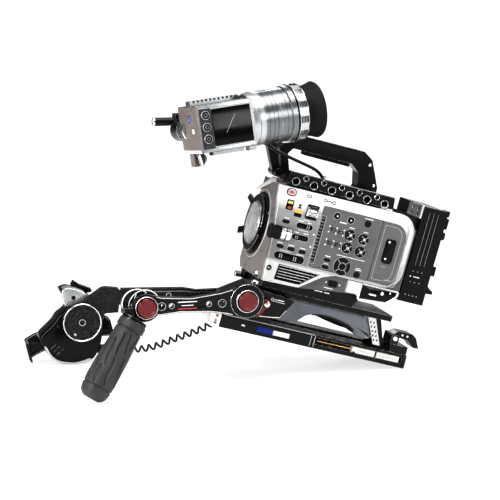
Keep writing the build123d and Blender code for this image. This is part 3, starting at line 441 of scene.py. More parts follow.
M = {
    "silver": surface("silver_paint", (0.62, 0.62, 0.61), 0.34, 0.30, bump=0.10, vary=0.05, wear_and_highlight=0.2,
                      wear_and_highlight_colour=(0.8, 0.8, 0.8)),
    # Its zones paint light and shade: a painted highlight brightens it towards the top, painted shade darkens
    # it above the bottom edge, and the rear end is one even mid grey.
    "side": surface("side_paint_with_painted_light", (0.50, 0.50, 0.49), 0.34, 0.30, bump=0.12, vary=0.05, wear_and_highlight=0.25,
                    wear_and_highlight_colour=(0.85, 0.85, 0.85), painted_light_zones=(
                        (RIG, 2, -41, -36, (0.15, 0.15, 0.152)), (RIG, 2, 12, 30, (0.26, 0.26, 0.26)),
                        (RIG, 2, 34, 52, (0.80, 0.80, 0.79)), (RIG, 0, 190, 200, (0.40, 0.40, 0.41)),
                    )),
    "shell": surface("shell_grey", (0.075, 0.072, 0.072), 0.38, 0.2, bump=0.25, wear_and_highlight=0.2),
    "panel": surface("panel_grey", (0.085, 0.085, 0.088), 0.5, 0.1, bump=0.35, vary=0.08, wear_and_highlight=0.25),
    "taupe": surface("front_taupe", (0.235, 0.215, 0.21), 0.34, 0.35, bump=0.15, wear_and_highlight=0.3,
                     wear_and_highlight_colour=(0.75, 0.73, 0.72)),
    "cap": surface("cap_grey", (0.44, 0.44, 0.435), 0.34, 0.35, bump=0.08, wear_and_highlight=0.3,
                   wear_and_highlight_colour=(0.85, 0.85, 0.85)),
    "black": surface("black_plastic", (0.003, 0.003, 0.003), 0.42, bump=0.2, wear_and_highlight=0.12,
                     wear_and_highlight_colour=(0.16, 0.16, 0.16), specular=0.14),
    "gloss": surface("gloss_black", (0.0015, 0.0015, 0.0016), 0.16, bump=0.02, coat=0.04, smudge=0.04,
                     specular=0.12),
    # Its strong lighter edges are partly real wear and partly painted edge highlights.
    "anodised": surface("black_anodised", (0.004, 0.004, 0.0043), 0.28, 0.0, bump=0.08, wear_and_highlight=0.75,
                        wear_and_highlight_colour=(0.5, 0.5, 0.5), specular=0.16, edge=0.0009),
    "bare": surface("bare_aluminium", (0.72, 0.72, 0.71), 0.26, 1.0, bump=0.08, vary=0.06, wear_and_highlight=0.2,
                    wear_and_highlight_colour=(0.9, 0.9, 0.9), pattern=brushed(RIG_X)),
    "cream": surface("cream_aluminium", (0.80, 0.77, 0.74), 0.36, 0.45, bump=0.1, vary=0.08,
                     wear_and_highlight=0.3, wear_and_highlight_colour=(0.9, 0.9, 0.88)),
    "chrome": surface("chrome", (0.82, 0.82, 0.82), 0.10, 1.0, bump=0.02, vary=0.03, smudge=0.05),
    # Its zones paint light and shade: a painted highlight along the bottom, painted shade above it and a
    # painted highlight towards the top.
    "edge": surface("edge_paint_with_painted_light", (0.66, 0.66, 0.65), 0.28, 0.5, bump=0.08, vary=0.05, wear_and_highlight=0.2,
                    wear_and_highlight_colour=(0.9, 0.9, 0.9), painted_light_zones=(
                        (RIG, 2, -44, -36, (0.30, 0.30, 0.30)), (RIG, 2, -20, 20, (0.72, 0.72, 0.71)),
                    )),
    "red": surface("red_anodised", (0.105, 0.002, 0.003), 0.22, 0.7, bump=0.04, vary=0.08, coat=0.4,
                   wear_and_highlight=0.2, wear_and_highlight_colour=(0.75, 0.35, 0.33)),
    "gold": surface("gold_plating", (0.62, 0.40, 0.15), 0.25, 1.0, bump=0.04, vary=0.1),
    "red_plastic": surface("red_plastic", (0.50, 0.02, 0.03), 0.3, coat=0.4, bump=0.04),
    "evf_grey": surface("evf_grey", (0.15, 0.155, 0.16), 0.28, 0.85, bump=0.05, vary=0.05, wear_and_highlight=0.25,
                        smudge=0.03),
    "evf_light": surface("evf_light", (0.44, 0.45, 0.455), 0.30, 0.8, bump=0.05, vary=0.04, wear_and_highlight=0.2,
                         smudge=0.03, wear_and_highlight_colour=(0.85, 0.85, 0.85)),
    "evf_taupe": surface("evf_taupe", (0.145, 0.118, 0.108), 0.42, 0.2, bump=0.3, vary=0.2, wear_and_highlight=0.35,
                         wear_and_highlight_colour=(0.5, 0.48, 0.45)),
    "rubber": surface("rubber_black", (0.007, 0.007, 0.007), 0.62, bump=0.5, vary=0.2, specular=0.16),
    "carved": surface("rubber_carved", (0.020, 0.022, 0.021), 0.55, bump=0.8, vary=0.25, grain=2200.0,
                      specular=0.4, wear_and_highlight=0.25, wear_and_highlight_colour=(0.12, 0.12, 0.12), edge=0.0012),
    "foam": surface("foam_grey", (0.135, 0.143, 0.158), 0.85, bump=0.3, vary=0.12, specular=0.25,
                    pattern=cells(1500.0, 0.7), sheen=0.15),
    # Dark foam; on the pad's inner arch it also paints shade.
    "dark_foam_and_shade": surface("dark_foam_and_shade", (0.022, 0.022, 0.027), 0.8, bump=0.3, specular=0.25,
                         pattern=cells(1500.0, 0.6)),
    "webbing": surface("strap_webbing", (0.006, 0.006, 0.0065), 0.75, bump=0.3, vary=0.25, specular=0.2,
                       pattern=woven((0.97, 0, 0.23), (-0.23, 0.5, 0.97))),
    "stitch": surface("grey_thread", (0.42, 0.42, 0.43), 0.7, bump=0.4,
                      pattern=woven((0.7, 0.7, 0), (0, 0.7, 0.7), 0.0006)),
    "white": surface("white_plastic", (0.60, 0.585, 0.555), 0.45, bump=0.15, vary=0.08, wear_and_highlight=0.3,
                     wear_and_highlight_colour=(0.55, 0.55, 0.53)),
    "print": surface("white_print", (0.80, 0.80, 0.78), 0.55, bump=0.2, vary=0.10),
    "dim_print": surface("grey_print", (0.38, 0.38, 0.38), 0.55, bump=0.2, vary=0.10),
    "blue": surface("blue_print", (0.002, 0.016, 0.20), 0.38, bump=0.05, vary=0.12, specular=0.2),
    "orange": surface("orange_print", (0.85, 0.38, 0.02), 0.4, bump=0.05, vary=0.1),
    "perforated": surface("strap_white", (0.62, 0.62, 0.62), 0.6, bump=0.2, vary=0.1,
                          pattern=woven((0.96, 0, -0.27), (0.27, 0, 0.96), 0.0009, 0.8)),
    "glass": clear("optical_glass", (0.80, 0.86, 0.92)),
    "coated": surface("sensor_glass", (0.05, 0.02, 0.11), 0.06, coat=1.0, bump=0.01),
    "board": surface("circuit_green", (0.012, 0.13, 0.05), 0.35, bump=0.4, grain=500.0,
                     second=((0.25, 0.24, 0.2), 260.0)),
    "speckled": surface("speckled_black", (0.006, 0.006, 0.006), 0.5, bump=0.7, grain=900.0,
                        second=((0.04, 0.04, 0.04), 700.0), wear_and_highlight=0.3, specular=0.16),
    "leathery": surface("leather_strip", (0.006, 0.006, 0.006), 0.42, bump=0.3, grain=1000.0,
                        pattern=cells(900.0, 1.4)),
    "cable": surface("cable_rubber", (0.005, 0.005, 0.005), 0.35, bump=0.15, vary=0.2, specular=0.2),
    "yellow_lamp": glow("yellow_lamp", (0.55, 0.58, 0.10), 0.12),
    "red_lamp": glow("red_lamp", (0.45, 0.03, 0.02), 0.1),
}

NODES_WITH = {
    "shell": ["body_shell"],
    "taupe": ["front_housing"],
    "anodised": ["lens_lock_ring", "nd_filter_wheel", "cheese_plate", "top_handle", "base_plate",
                 "rosette_block", "tripod_plate", "rear_latch", "evf_link", "evf_rod", "near_arm",
                 "handle_core", "far_arm"],
    "cap": ["body_cap"],
    "side": ["side_panel"],
    "panel": ["control_panel", "media_door"],
    "black": ["vent_grille", "push_buttons", "toggle_switches", "audio_knob_1", "audio_knob_2",
              "audio_knob_3", "audio_knob_4", "power_switch", "cooling_fan", "battery_adapter",
              "battery_release", "evf_buttons", "grip_button", "zoom_rocker"],
    "dim_print": ["record_button"],
    "rubber": ["nd_dial", "handle_rubber", "eyecup"],
    "bare": ["menu_wheel", "rear_bracket"],
    "silver": ["port_flap"],
    "coated": ["image_sensor"],
    "board": ["main_board"],
    "red": ["release_lever", "arm_lock_button", "handle_lock_button"],
    "foam": ["shoulder_pad"],
    "perforated": ["pad_strap"],
    "cream": ["plate_bracket"],
    "white": ["release_wedge"],
    "evf_grey": ["evf_body", "evf_barrel"],
    "evf_taupe": ["evf_front_plate"],
    "evf_light": ["evf_focus_ring"],
    "glass": ["evf_lens"],
    "carved": ["handle_grip"],
    "speckled": ["grip_extension"],
    "gloss": ["hand_grip"],
    "webbing": ["hand_strap"],
    "cable": ["evf_cable", "coiled_cable"],
}
for finish, names in NODES_WITH.items():
    for name in names:
        mesh = frame["nodes"][name].data
        mesh.materials.clear()
        mesh.materials.append(M[finish])

# Width in millimetres of the rounded edges of the CAD pieces.
EDGES_OF = {
    0.3: ["control_panel", "toggle_switches"],
    0.35: ["media_door", "push_buttons"],
    0.4: ["rear_bracket", "release_wedge"],
    0.5: ["record_button", "lens_lock_ring", "plate_bracket"],
    0.6: ["side_panel", "cheese_plate", "battery_adapter", "base_plate", "release_lever",
          "tripod_plate", "evf_body", "evf_front_plate", "evf_link", "evf_rod", "battery_release"],
    0.8: ["front_housing", "rosette_block", "rear_latch", "handle_core", "grip_extension",
          "zoom_rocker", "body_shell"],
    1.2: ["near_arm", "far_arm"],
    1.6: ["top_handle"],
}


def round_edges(obj, width):
    """Welds a CAD piece's facets and rounds its sharp edges with modifiers."""
    weld = obj.modifiers.new("weld", "WELD")
    weld.merge_threshold = 2e-6
    edge = obj.modifiers.new("edge", "BEVEL")
    edge.width = width * 0.001
    edge.segments = 2
    edge.limit_method = "ANGLE"
    edge.angle_limit = math.radians(40)
    edge.use_clamp_overlap = True
    normals = obj.modifiers.new("normals", "WEIGHTED_NORMAL")
    normals.keep_sharp = False
    obj.data.shade_smooth()


for width, names in EDGES_OF.items():
    for name in names:
        round_edges(frame["nodes"][name], width)


def draw(name, material, *shapes, slot=None, body="camera", place=RIG, local=SIDE, smooth=38.0):
    """Piece of several shapes, each a function that adds to the bmesh in the local frame. The slot
    argument is not used."""
    bm = bmesh.new()
    for shape in shapes:
        shape(bm, local)
    finish = M[material]
    return piece(name, bm, place, body, finish, smooth)


def plate(outline, low, high, rim=0.15, steps=2):
    return lambda bm, local: add_prism(bm, outline, low, high, rim, local, steps)


def layers(rows):
    return lambda bm, local: add_layers(bm, rows, local)


def slab(outline, near, far, edge, levels=5):
    return lambda bm, local: rounded_slab(bm, outline, near, far, edge, local, levels)


def lathe_x(*points, at=(0, 0, 0), steps=96):
    """Turned shape about an axis along X, from points of X and radius."""
    return lathe(list(points), along_x(at), steps)


def lathe(profile, frame, steps=64):
    """Turned shape from (height, radius) pairs, standing in a frame of its own."""
    return lambda bm, local: add_lathe(bm, profile, frame, steps)


def ring(outer, inner, low, high, rim=0.15):
    return lambda bm, local: add_ring(bm, outer, inner, low, high, local, rim)


def box(u0, u1, v0, v1, low, high, rim=0.15):
    return plate(box_outline(u0, u1, v0, v1), low, high, rim)


def disc(at, radius, low, high, rim=0.15, steps=24):
    return plate(circle(radius, at, steps), low, high, rim)


def dash(u, v, length, height=0.9, face=0.0):
    """Plain mark standing in for a printed label."""
    return box(u - length / 2, u + length / 2, v - height / 2, v + height / 2, face - 0.02, face + 0.08, 0.02)


def above(face, local=SIDE, **where):
    """Where a piece's details are drawn: heights count from a face of that height in the local frame."""
    return dict(local=local @ Matrix.Translation((0, 0, face)), **where)


def round_ring(at, outer, inner, low, high, rim=0.15, steps=48):
    return ring(circle(outer, at, steps), circle(inner, at, steps), low, high, rim)


def soft_ring(outer, inner, low, high, rim=0.15):
    """Ring between two rounded boxes, each given as left, right, bottom, top and corner radius."""
    return ring(soft_box(*outer), soft_box(*inner), low, high, rim)


def pill_ring(u, v, length, height, width, low, high, rim=0.15):
    outer = pill(u, v, length + 2 * width, height + 2 * width)
    return ring(outer, pill(u, v, length, height), low, high, rim)


def edge_line(points, width, low, high):
    """Narrow line along the points, on their upper side or, with a negative width, below them."""
    return layers([[(x, z, low), (x, z, high), (x, z + width, high), (x, z + width, low)] for x, z in points])


def around(frame, count, start=0.0):
    """The frame turned about its Z axis, in equal steps."""
    return [frame @ Matrix.Rotation(start + 2 * math.pi * k / count, 4, "Z") for k in range(count)]


def at_point(local, at):
    return local @ Matrix.Translation((*at, 0))


# ---------------------------------------------------------------- cords
# The control points of the CAD routes, in the floor frame, metres.
EVF_CABLE_ROUTE = [
    (-0.028, -0.052, 0.353), (-0.028, -0.037, 0.3495), (-0.013, -0.027, 0.347),
    (0.009, -0.031, 0.3455), (0.032, -0.041, 0.341), (0.046, -0.045, 0.330),
    (0.064, -0.0465, 0.321), (0.084, -0.0455, 0.3115), (0.103, -0.043, 0.3025),
    (0.115, -0.0395, 0.293), (0.1215, -0.037, 0.281),
]
COIL_ROUTE = [
    (-0.170, 0.104, 0.022), (-0.156, 0.104, 0.022), (-0.134, 0.100, 0.018), (-0.108, 0.092, 0.022),
    (-0.080, 0.084, 0.034), (-0.052, 0.077, 0.044), (-0.020, 0.070, 0.057), (0.010, 0.062, 0.088),
]
EVF_CORD = 0.0046            # thickness
COIL_OUTER, COIL_WIRE, COIL_PITCH = 0.012, 0.0035, 0.0116


def in_row(route):
    """A route in the room's own frame."""
    return [FLOOR @ (Vector(point) * 1000.0) for point in route]


def spline_through(name, points, resolution=12):
    """Open smooth curve with the points as its control points."""
    data = bpy.data.curves.new(name, "CURVE")
    data.dimensions = "3D"
    data.resolution_u = resolution
    spline = data.splines.new("NURBS")
    spline.points.add(len(points) - 1)
    for control, point in zip(spline.points, points):
        control.co = (*point, 1.0)
    spline.order_u = 3
    spline.use_endpoint_u = True
    obj = bpy.data.objects.new(name, data)
    scene.collection.objects.link(obj)
    return obj


def line_of(obj):
    """Points along a curve object that has no bevel."""
    mesh = bpy.data.meshes.new_from_object(obj)
    points = [vertex.co.copy() for vertex in mesh.vertices]
    bpy.data.meshes.remove(mesh)
    return points


def length_of(points):
    return sum((b - a).length for a, b in zip(points, points[1:]))


def curl(line, radius, pitch, per_turn=16, taper=0.009):
    """Helix round a line, which it joins at both ends."""
    total = length_of(line)
    count = round(total / pitch * per_turn)
    side = (line[1] - line[0]).orthogonal().normalized()
    points, index, passed = [], 0, 0.0
    for step in range(count + 1):
        run = total * step / count
        while index < len(line) - 2 and passed + (line[index + 1] - line[index]).length < run:
            passed += (line[index + 1] - line[index]).length
            index += 1
        way = (line[index + 1] - line[index]).normalized()
        middle = line[index] + way * (run - passed)
        side = (side - way * side.dot(way)).normalized()
        turn = 2 * math.pi * run / pitch
        reach = radius * min(1.0, run / taper, (total - run) / taper)
        points.append(middle + (side * math.cos(turn) + way.cross(side) * math.sin(turn)) * reach)
    return points


def lay_cord(name, points, diameter, resolution=12):
    """Round cord through the points, which stands for the CAD cable of the same name."""
    obj = spline_through(name, points, resolution)
    length = length_of(line_of(obj))
    obj.data.bevel_depth = diameter / 2
    obj.data.bevel_resolution = 3
    obj.data.use_fill_caps = True
    obj.data.materials.append(M["cable"])
    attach(obj, "camera")
    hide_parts(name.replace("_cord", "_cable"))
    print(name, "length", round(length, 4))
    return obj


evf_route = in_row(EVF_CABLE_ROUTE)
lay_cord("evf_cord", evf_route, EVF_CORD, 10)
coil_route = in_row(COIL_ROUTE)
guide = spline_through("coil_guide", coil_route, 24)
coil_line = line_of(guide)
bpy.data.objects.remove(guide)
lay_cord("coiled_cord", curl(coil_line, (COIL_OUTER - COIL_WIRE) / 2, COIL_PITCH), COIL_WIRE, 2)

# ---------------------------------------------------------------- carved handle grip
def upright(point, way):
    """Floor-frame axes with Z along way and X towards the operator."""
    z = Vector(way).normalized()
    x = Vector((0, -1, 0))
    x = (x - z * x.dot(z)).normalized()
    return FLOOR @ Matrix.Translation(point) @ Matrix((x, z.cross(x), z)).transposed().to_4x4()


HANDLE = upright((-172, -105, 111), (0.541, 0.169, 0.824))
GRIP_PROFILE = [
    (-5.2, 18.8), (-6.2, 19.8), (-15.6, 19.9), (-16.4, 18.0), (-17.6, 18.0), (-18.4, 19.0), (-30, 19.3),
    (-60, 20.9), (-95, 21.7), (-104.2, 20.9), (-105, 19.6), (-106.2, 19.6), (-107, 20.9), (-112, 20.2),
    (-118, 18.4), (-121.5, 15.4), (-123.6, 12.0),
]
# Leaf-shaped cuts: heights of both ends, their turn as a share of one repeat, half width, lean.
LEAVES = [
    (-21, -50, 0.02, 0.17, 2.2, 0.4), (-21, -46, 0.40, 0.24, 2.0, -0.3), (-34, -76, 0.58, 0.74, 2.3, 0.6),
    (-54, -101, 0.24, 0.40, 3.2, -0.7), (-60, -103, 0.90, 1.06, 3.0, 0.8), (-76, -103, 0.60, 0.68, 3.2, 0.7),
    (-24, -58, 0.80, 0.90, 1.5, 0.5),
]
REPEATS = 3


def profile_radius(profile, height):
    """Radius at a height, from (height, radius) pairs that run down."""
    for (high, r_high), (low, r_low) in zip(profile, profile[1:]):
        if low <= height <= high:
            return r_high + (r_low - r_high) * (high - height) / (high - low)
    return profile[-1][1]


def leaf_depth(height, turn, radius):
    """How deep the leaf-shaped cuts go at a height and a turn, as a share of one repeat."""
    depth = 0.0
    for top, foot, start, end, half, lean in LEAVES:
        t = (top - height) / (top - foot)
        if not 0 < t < 1:
            continue
        middle = start + (end - start) * t + 0.035 * lean * math.sin(2 * math.pi * t)
        gap = (turn - middle + 0.5) % 1.0 - 0.5
        gap *= 2 * math.pi * radius / REPEATS
        width = half * math.sin(math.pi * t ** 0.8) ** 0.8
        depth = max(depth, 2.3 * max(0.0, 1 - (gap / width) ** 2) ** 0.7)
    return depth


def carved_layers(steps=168, levels=130):
    """Outlines of the carved handle from its top down to its domed end."""
    top, foot, dome = GRIP_PROFILE[0][0], GRIP_PROFILE[-1][0], 0.4
    even = {top + (foot - top) * k / levels for k in range(levels + 1)}
    outlines = []
    for height in sorted({high for high, radius in GRIP_PROFILE} | even, reverse=True):
        radius = profile_radius(GRIP_PROFILE, height)
        outline = []
        for k in range(steps):
            angle = 2 * math.pi * k / steps
            reach = radius - leaf_depth(height, REPEATS * k / steps % 1.0, radius)
            outline.append((reach * math.cos(angle), reach * math.sin(angle), height))
        outlines.append(outline)
    outlines.append([(0.96 * x, 0.96 * y, foot - dome) for x, y, z in outlines[-1]])
    return outlines


carved = draw("carved_grip", "carved",
              layers(carved_layers()), body="handle", place=HANDLE, local=TOP, smooth=50)
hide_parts("handle_grip")

# ---------------------------------------------------------------- hand grip on the far arm
GRIP_OUTLINE = [
    (-244, 112), (-240, 116.5), (-228, 117), (-201, 104), (-187, 89), (-183, 70), (-182, 50),
    (-185, 30), (-193, 12.5), (-201, 6), (-212, 3.2), (-228, 1.6), (-249, 4.8), (-261, 14), (-271, 28),
    (-277, 42), (-273, 50), (-257, 65), (-249, 76), (-237, 86), (-236, 97),
]


GRIP_AXIS = (-215, 68)
GRIP_SCREWS = ((-249, 61), (-226, 52.5))
GRIP_SOCKET = (0, 104, 22)


def strap_bar(x0, x1, z0, z1):
    """Bar that holds the hand strap, along X."""
    section = [(114, z0), (122, z0), (122, z1), (114, z1)]
    return lambda bm, local: add_layers(bm, [[(x, y, z) for y, z in section] for x in (x0, x1)])


on_grip = dict(body="hand_grip", place=FLOOR, smooth=40)
grip = draw("moulded_grip", "gloss",
            slab(flowing(GRIP_OUTLINE, 5), 97, 137, 5.5), strap_bar(-288, -272, 21.5, 33.5),
            strap_bar(-190, -168.6, 42.5, 49.5),
            lathe([(-192, 0.1), (-192, 6.4), (-171, 6.4), (-170.2, 5.6), (-170.2, 0.1)],
                  along_x(GRIP_SOCKET), 40),
            lathe([(95.9, 0.1), (95.9, 20), (98, 20), (98, 0.1)],
                  facing((0, 0, 1), (1, 0, 0), (GRIP_AXIS[0], 0, GRIP_AXIS[1])), 48), **on_grip)
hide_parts("hand_grip")
HEAD_OUTLINE = [(-243, 111), (-239, 117.2), (-228, 117.8), (-207, 108.5), (-209, 99), (-226, 91.5),
                (-239, 93)]
draw("grip_head", "evf_light", slab(flowing(HEAD_OUTLINE, 4), 96.4, 120.5, 2.2), **on_grip)
draw("grip_ridges", "anodised",
     *[plate(circle(2.0, at, 20), -97.6, -96.4, 0.3, steps=3) for at in GRIP_SCREWS],
     *[plate([(x, z), (x + 1, z - 1), (x + 11, z + 8), (x + 10, z + 9)], -97.6, -96.4, 0.2, steps=3)
       for x, z in ((-262, 27), (-257, 23), (-252, 19))], **on_grip)
RIM_OUTLINE = [(-270, 30), (-262, 15), (-250, 6.5), (-228, 3.2), (-212, 4.8), (-201, 8), (-204, 10),
               (-214, 7), (-228, 5.2), (-248, 8.8), (-259, 17), (-267, 31)]
draw("grip_rim", "evf_light", slab(flowing(RIM_OUTLINE, 4), 96.5, 99, 0.3, levels=2), **on_grip)
on_disc = dict(body="far_arm", place=FLOOR, smooth=35)
draw("disc_rim", "bare", round_ring(GRIP_AXIS, 28.7, 26.8, -82.2, -81.2, 0.5, 72), **on_disc)
draw("disc_screws", "dim_print",
     plate(circle(1.9, (-226, 50.5), 20), -83.2, -81.9, 0.3, steps=3),
     round_ring(GRIP_AXIS, 5.0, 4.2, -83.2, -82.4, 0.2, 32), slot="bare_aluminium", **on_disc)

# ---------------------------------------------------------------- hand strap
STRAP = FLOOR @ Matrix.Translation((-228, 0, 34)) @ Matrix.Rotation(math.radians(-13), 4, "Y")


def strap_line(reach):
    """Half-loop of the strap as points and outward directions in its own plane."""
    crown = 108 + reach
    centre_y = (reach**2 + 140**2 - crown**2) / (2 * (140 - crown))
    radius = crown - centre_y
    ends = math.asin(reach / radius)
    line = [(-reach, y, -1.0, 0.0) for y in (113, 120, 127, 134)]
    for k in range(41):
        angle = -ends + 2 * ends * k / 40
        line.append((radius * math.sin(angle), centre_y + radius * math.cos(angle),
                     math.sin(angle), math.cos(angle)))
    return line + [(reach, y, 1.0, 0.0) for y in (134, 127, 120, 113)]


def add_strip(bm, line, section):
    """Strip along a strap line. The section is points of outward distance and height."""
    add_layers(bm, [[(x + ox * out, y + oy * out, z) for out, z in section] for x, y, ox, oy in line])


def strip(line, *sections):
    return lambda bm, local: [add_strip(bm, line, section) for section in sections]


def thread(side, z):
    """Section of one line of stitching on the outer or inner face of the strap."""
    low, high = sorted((1.2 * side, 1.75 * side))
    return [(low, z - 0.35), (high, z - 0.35), (high, z + 0.35), (low, z + 0.35)]


loop = strap_line(64)
web = [(1.5 * (1 - (abs(z) / 16.5) ** 6) ** 0.5, z) for z in (-16.5, -15, -12, -6, 0, 6, 12, 15, 16.5)]
web += [(-out, z) for out, z in reversed(web[1:-1])]
on_strap = dict(slot="strap_webbing", body="hand_grip", place=STRAP, smooth=50)
strap = draw("webbing_strap", "webbing", strip(loop, web), **on_strap)
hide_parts("hand_strap")
draw("strap_stitching", "stitch",
     strip(loop, *[thread(side, z) for z in (-14.2, 14.2) for side in (1, -1)]), **on_strap)
draw("strap_pad", "dark_foam_and_shade",
     strip([point for point in loop if point[1] > 152], [(1.4, -13), (3.0, -11), (3.0, 11), (1.4, 13)]),
     **on_strap)

# ---------------------------------------------------------------- shoulder pad
PAD_OUTLINE = [
    (48, -90.8), (110, -90.6), (178, -90.8), (184, -95), (197, -117), (193, -121.5), (178, -121.8),
    (170, -115), (158, -108.6), (136, -104), (120, -103.4), (106, -104.6), (92, -110), (83, -118.4),
    (76, -122.6), (67, -123.6), (48, -121.6), (46.4, -106),
]
NEAR_ARCH = [(98, -107), (116, -104), (138, -104.5), (156, -108.8), (171, -115.6), (184, -120.6)]
FAR_LOBE = [(110, -110), (126, -114.5), (144, -118.5), (162, -121.5), (176, -123), (190, -122)]
LINING_TOP = [(191, -112), (170, -104), (140, -99), (112, -99)]
LIP_OUTLINE = [(170, -114.4), (178, -119), (193, -119.4), (197.5, -116.5), (193, -123), (178, -122.8),
               (168, -117)]
pad = draw("foam_pad", "foam", slab(flowing(PAD_OUTLINE, 5), -44, 44, 4.5), smooth=60)
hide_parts("shoulder_pad")


def lining(bm, local):
    """Ribbed inner arch, which steps down from the near arch to the far lobe; its dark foam is painted shade
    inside the arch.
    """
    for rib in range(6):
        share = (rib + 1) / 6
        lower = [tuple(Vector(near).lerp(Vector(far), share)) for near, far in zip(NEAR_ARCH, FAR_LOBE)]
        rounded_slab(bm, flowing(lower + LINING_TOP, 4), -40 + 12 * rib, 43, 1.2, local, levels=2)


draw("pad_lining", "dark_foam_and_shade", lining, smooth=50)
draw("pad_lip", "evf_grey",
     slab(flowing(LIP_OUTLINE, 4), -43, 43, 1.0, levels=2), slot="foam_grey", smooth=50)

# ---------------------------------------------------------------- operator's side of the camera
on_panel = above(73.0)
on_lower_shell = above(66.0)
WHEEL_CENTRE, DIAL_CENTRE = (0, -66, 39.5), (0, -69, 0.9)
PANEL_OVALS = [(13.0, 18.5), (14.3, -17.3), (31.3, -17.8), (48.4, -18.2)]
INSET_OVALS = [(88.0, -20.7), (88.0, -31.2)]
INSET_ROUNDS = [(85.3, 44.0), (106.9, 42.6), (133.3, 43.7), (137.6, -31.6)]
KNOBS = [(111.4, 22.0), (133.1, 20.5), (112.4, 2.9), (133.2, 1.8)]
TOGGLES = [(84.3, 23.5), (95.8, 22.5), (84.5, 4.2), (96.0, 3.4)]
SLOTS = [(42.0, 17.8, 25.0, 8.0), (40.0, 0.8, 25.0, 8.0), (32.0, -30.5, 46.0, 11.0)]
PAD_CENTRE = (112.7, -24.7)

# Outlines of the side panel's bright border, which is broad at the rear: foot, crest and inside.
edge_out = rounded([(-9.6, 67.2), (-1.1, -5), (2.4, -70.1), (56.8, -68.6), (87.8, -46.1), (105.8, -39.7),
                    (205.7, -39.7), (205.7, 69.2)], [1, 4, 1, 1, 1, 1, 26, 26], 8)
edge_top = rounded([(-8.4, 66.0), (0.1, -5), (3.6, -69.0), (56.2, -67.6), (87.2, -45.2), (105.5, -38.8),
                    (203.0, -38.2), (203.0, 66.0)], [1, 4, 1, 1, 1, 1, 24, 24], 8)
edge_in = rounded([(-7.6, 65.2), (0.7, -5), (4.2, -68.4), (55.9, -67.0), (86.9, -44.6), (105.3, -38.0),
                   (199.5, -37.4), (199.5, 62.0)], [1, 4, 1, 1, 1, 1, 20, 20], 8)


def panel_border(bm, local):
    """Rim with a bevelled outside and a step down to the panel."""
    loops = [(edge_out, -1.0), (edge_top, 0.35), (edge_in, 0.5), (edge_in, -0.1)]
    rows = [[bm.verts.new(local @ Vector((u, v, w))) for u, v in outline] for outline, w in loops]
    for a, b in zip(rows, rows[1:] + rows[:1]):
        for i in range(len(a)):
            j = (i + 1) % len(a)
            bm.faces.new((a[i], a[j], b[j], b[i]))


draw("panel_border", "edge", panel_border, smooth=25, **on_panel)
draw("inset_line", "dim_print",
     soft_ring((61.4, 198.6, -37.1, 54.6, 3), (62.1, 197.9, -36.4, 53.9, 3), -0.4, 0.15), **on_panel)
draw("door_seams", "gloss",
     box(155.5, 156.4, -36, 53.5, -2, -1.4), box(70.2, 155.3, 53.45, 53.9, -1.8, -0.8), **on_panel)
draw("door_window", "gloss",
     plate(soft_box(167.3, 183.7, -5.7, 30.7, 5), 0.2, 0.9, 0.3), body="media_door", **on_panel)
draw("window_marks", "print",
     plate([(170.6, 26), (172.6, 24), (174.6, 26), (172.6, 28)], 0.85, 1.05, 0.02),
     plate([(170.9, 1.0), (172.9, -1.0), (174.9, 1.0), (172.9, 3.0)], 0.85, 1.05, 0.02), body="media_door",
     **on_panel)
draw("door_marks", "dim_print",
     dash(174, -11, 7, 0.7, -0.4), dash(186, -29, 10, 0.9, -0.4),
     soft_ring((160.5, 190, -31.5, 49, [2, 14, 14, 2]), (161.0, 189.5, -31.0, 48.5, [2, 13.6, 13.6, 2]),
               -0.45, -0.28, 0.03), slot="white_plastic", body="media_door", **on_panel)

# Record button, lamps, label and menu wheel.
draw("record_surround", "black", pill_ring(10, 61, 12.7, 8.7, 1.3, -0.2, 0.7, 0.4), **on_panel)
draw("record_centre", "red_plastic",
     plate(pill(10, 61, 6.4, 3.8), 1.1, 1.7, 0.3), body="record_button", **on_panel)
draw("lamp_window", "gloss", plate(soft_box(7, 17.4, 35.6, 50.2, 1.2), -0.05, 0.5, 0.2), **on_panel)
draw("upper_lamp", "yellow_lamp", plate(soft_box(8.6, 15.8, 44.6, 48.4, 0.8), 0.4, 0.75), **on_panel)
draw("lower_lamp", "red_lamp", plate(soft_box(9.4, 15.0, 37.4, 40.2, 0.8), 0.4, 0.75), **on_panel)
draw("orange_label", "orange", box(21.4, 33.2, 34.6, 38.6, -0.05, 0.15, 0.03), **on_panel)
draw("dark_labels", "gloss",
     plate(soft_box(21.6, 32.6, 28.6, 34.2, 0.8), -0.05, 0.3),
     plate([(24.4, 41.2), (30.4, 41.2), (27.9, 44.2), (30.4, 47.2), (24.4, 47.2), (26.6, 44.2)], -0.05,
           0.12, 0.03), pill_ring(36.6, 61.2, 5.6, 2.2, 1.1, -0.05, 0.2, 0.05),
     round_ring((61.5, 61.4), 2.8, 1.6, -0.05, 0.15, 0.05),
     round_ring((75.5, 60.6), 2.8, 1.6, -0.05, 0.15, 0.05), box(64, 73, 60.3, 61.7, -0.05, 0.1, 0.03),
     **on_panel)
draw("wheel_guard", "black",
     soft_ring((38.4, 55.6, 29.5, 50.5, 1.6), (40.5, 53.5, 31.5, 48.3, 1.6), -0.1, 2.4, 0.5), **on_panel)
draw("wheel_sides", "chrome",
     box(38.7, 40.1, 33.5, 46.5, 2.2, 4.2, 0.4), box(53.9, 55.3, 33.5, 46.5, 2.2, 4.2, 0.4), **on_panel)


def knurl(bm, local):
    """Ribs of the menu wheel."""
    for rib in around(along_x(WHEEL_CENTRE), 30):
        add_box(bm, (9.9, -0.45, 41.2), (10.35, 0.45, 52.8), rib, 0.1)


draw("wheel_knurl", "black", knurl, slot="bare_aluminium", body="menu_wheel", local=TOP)


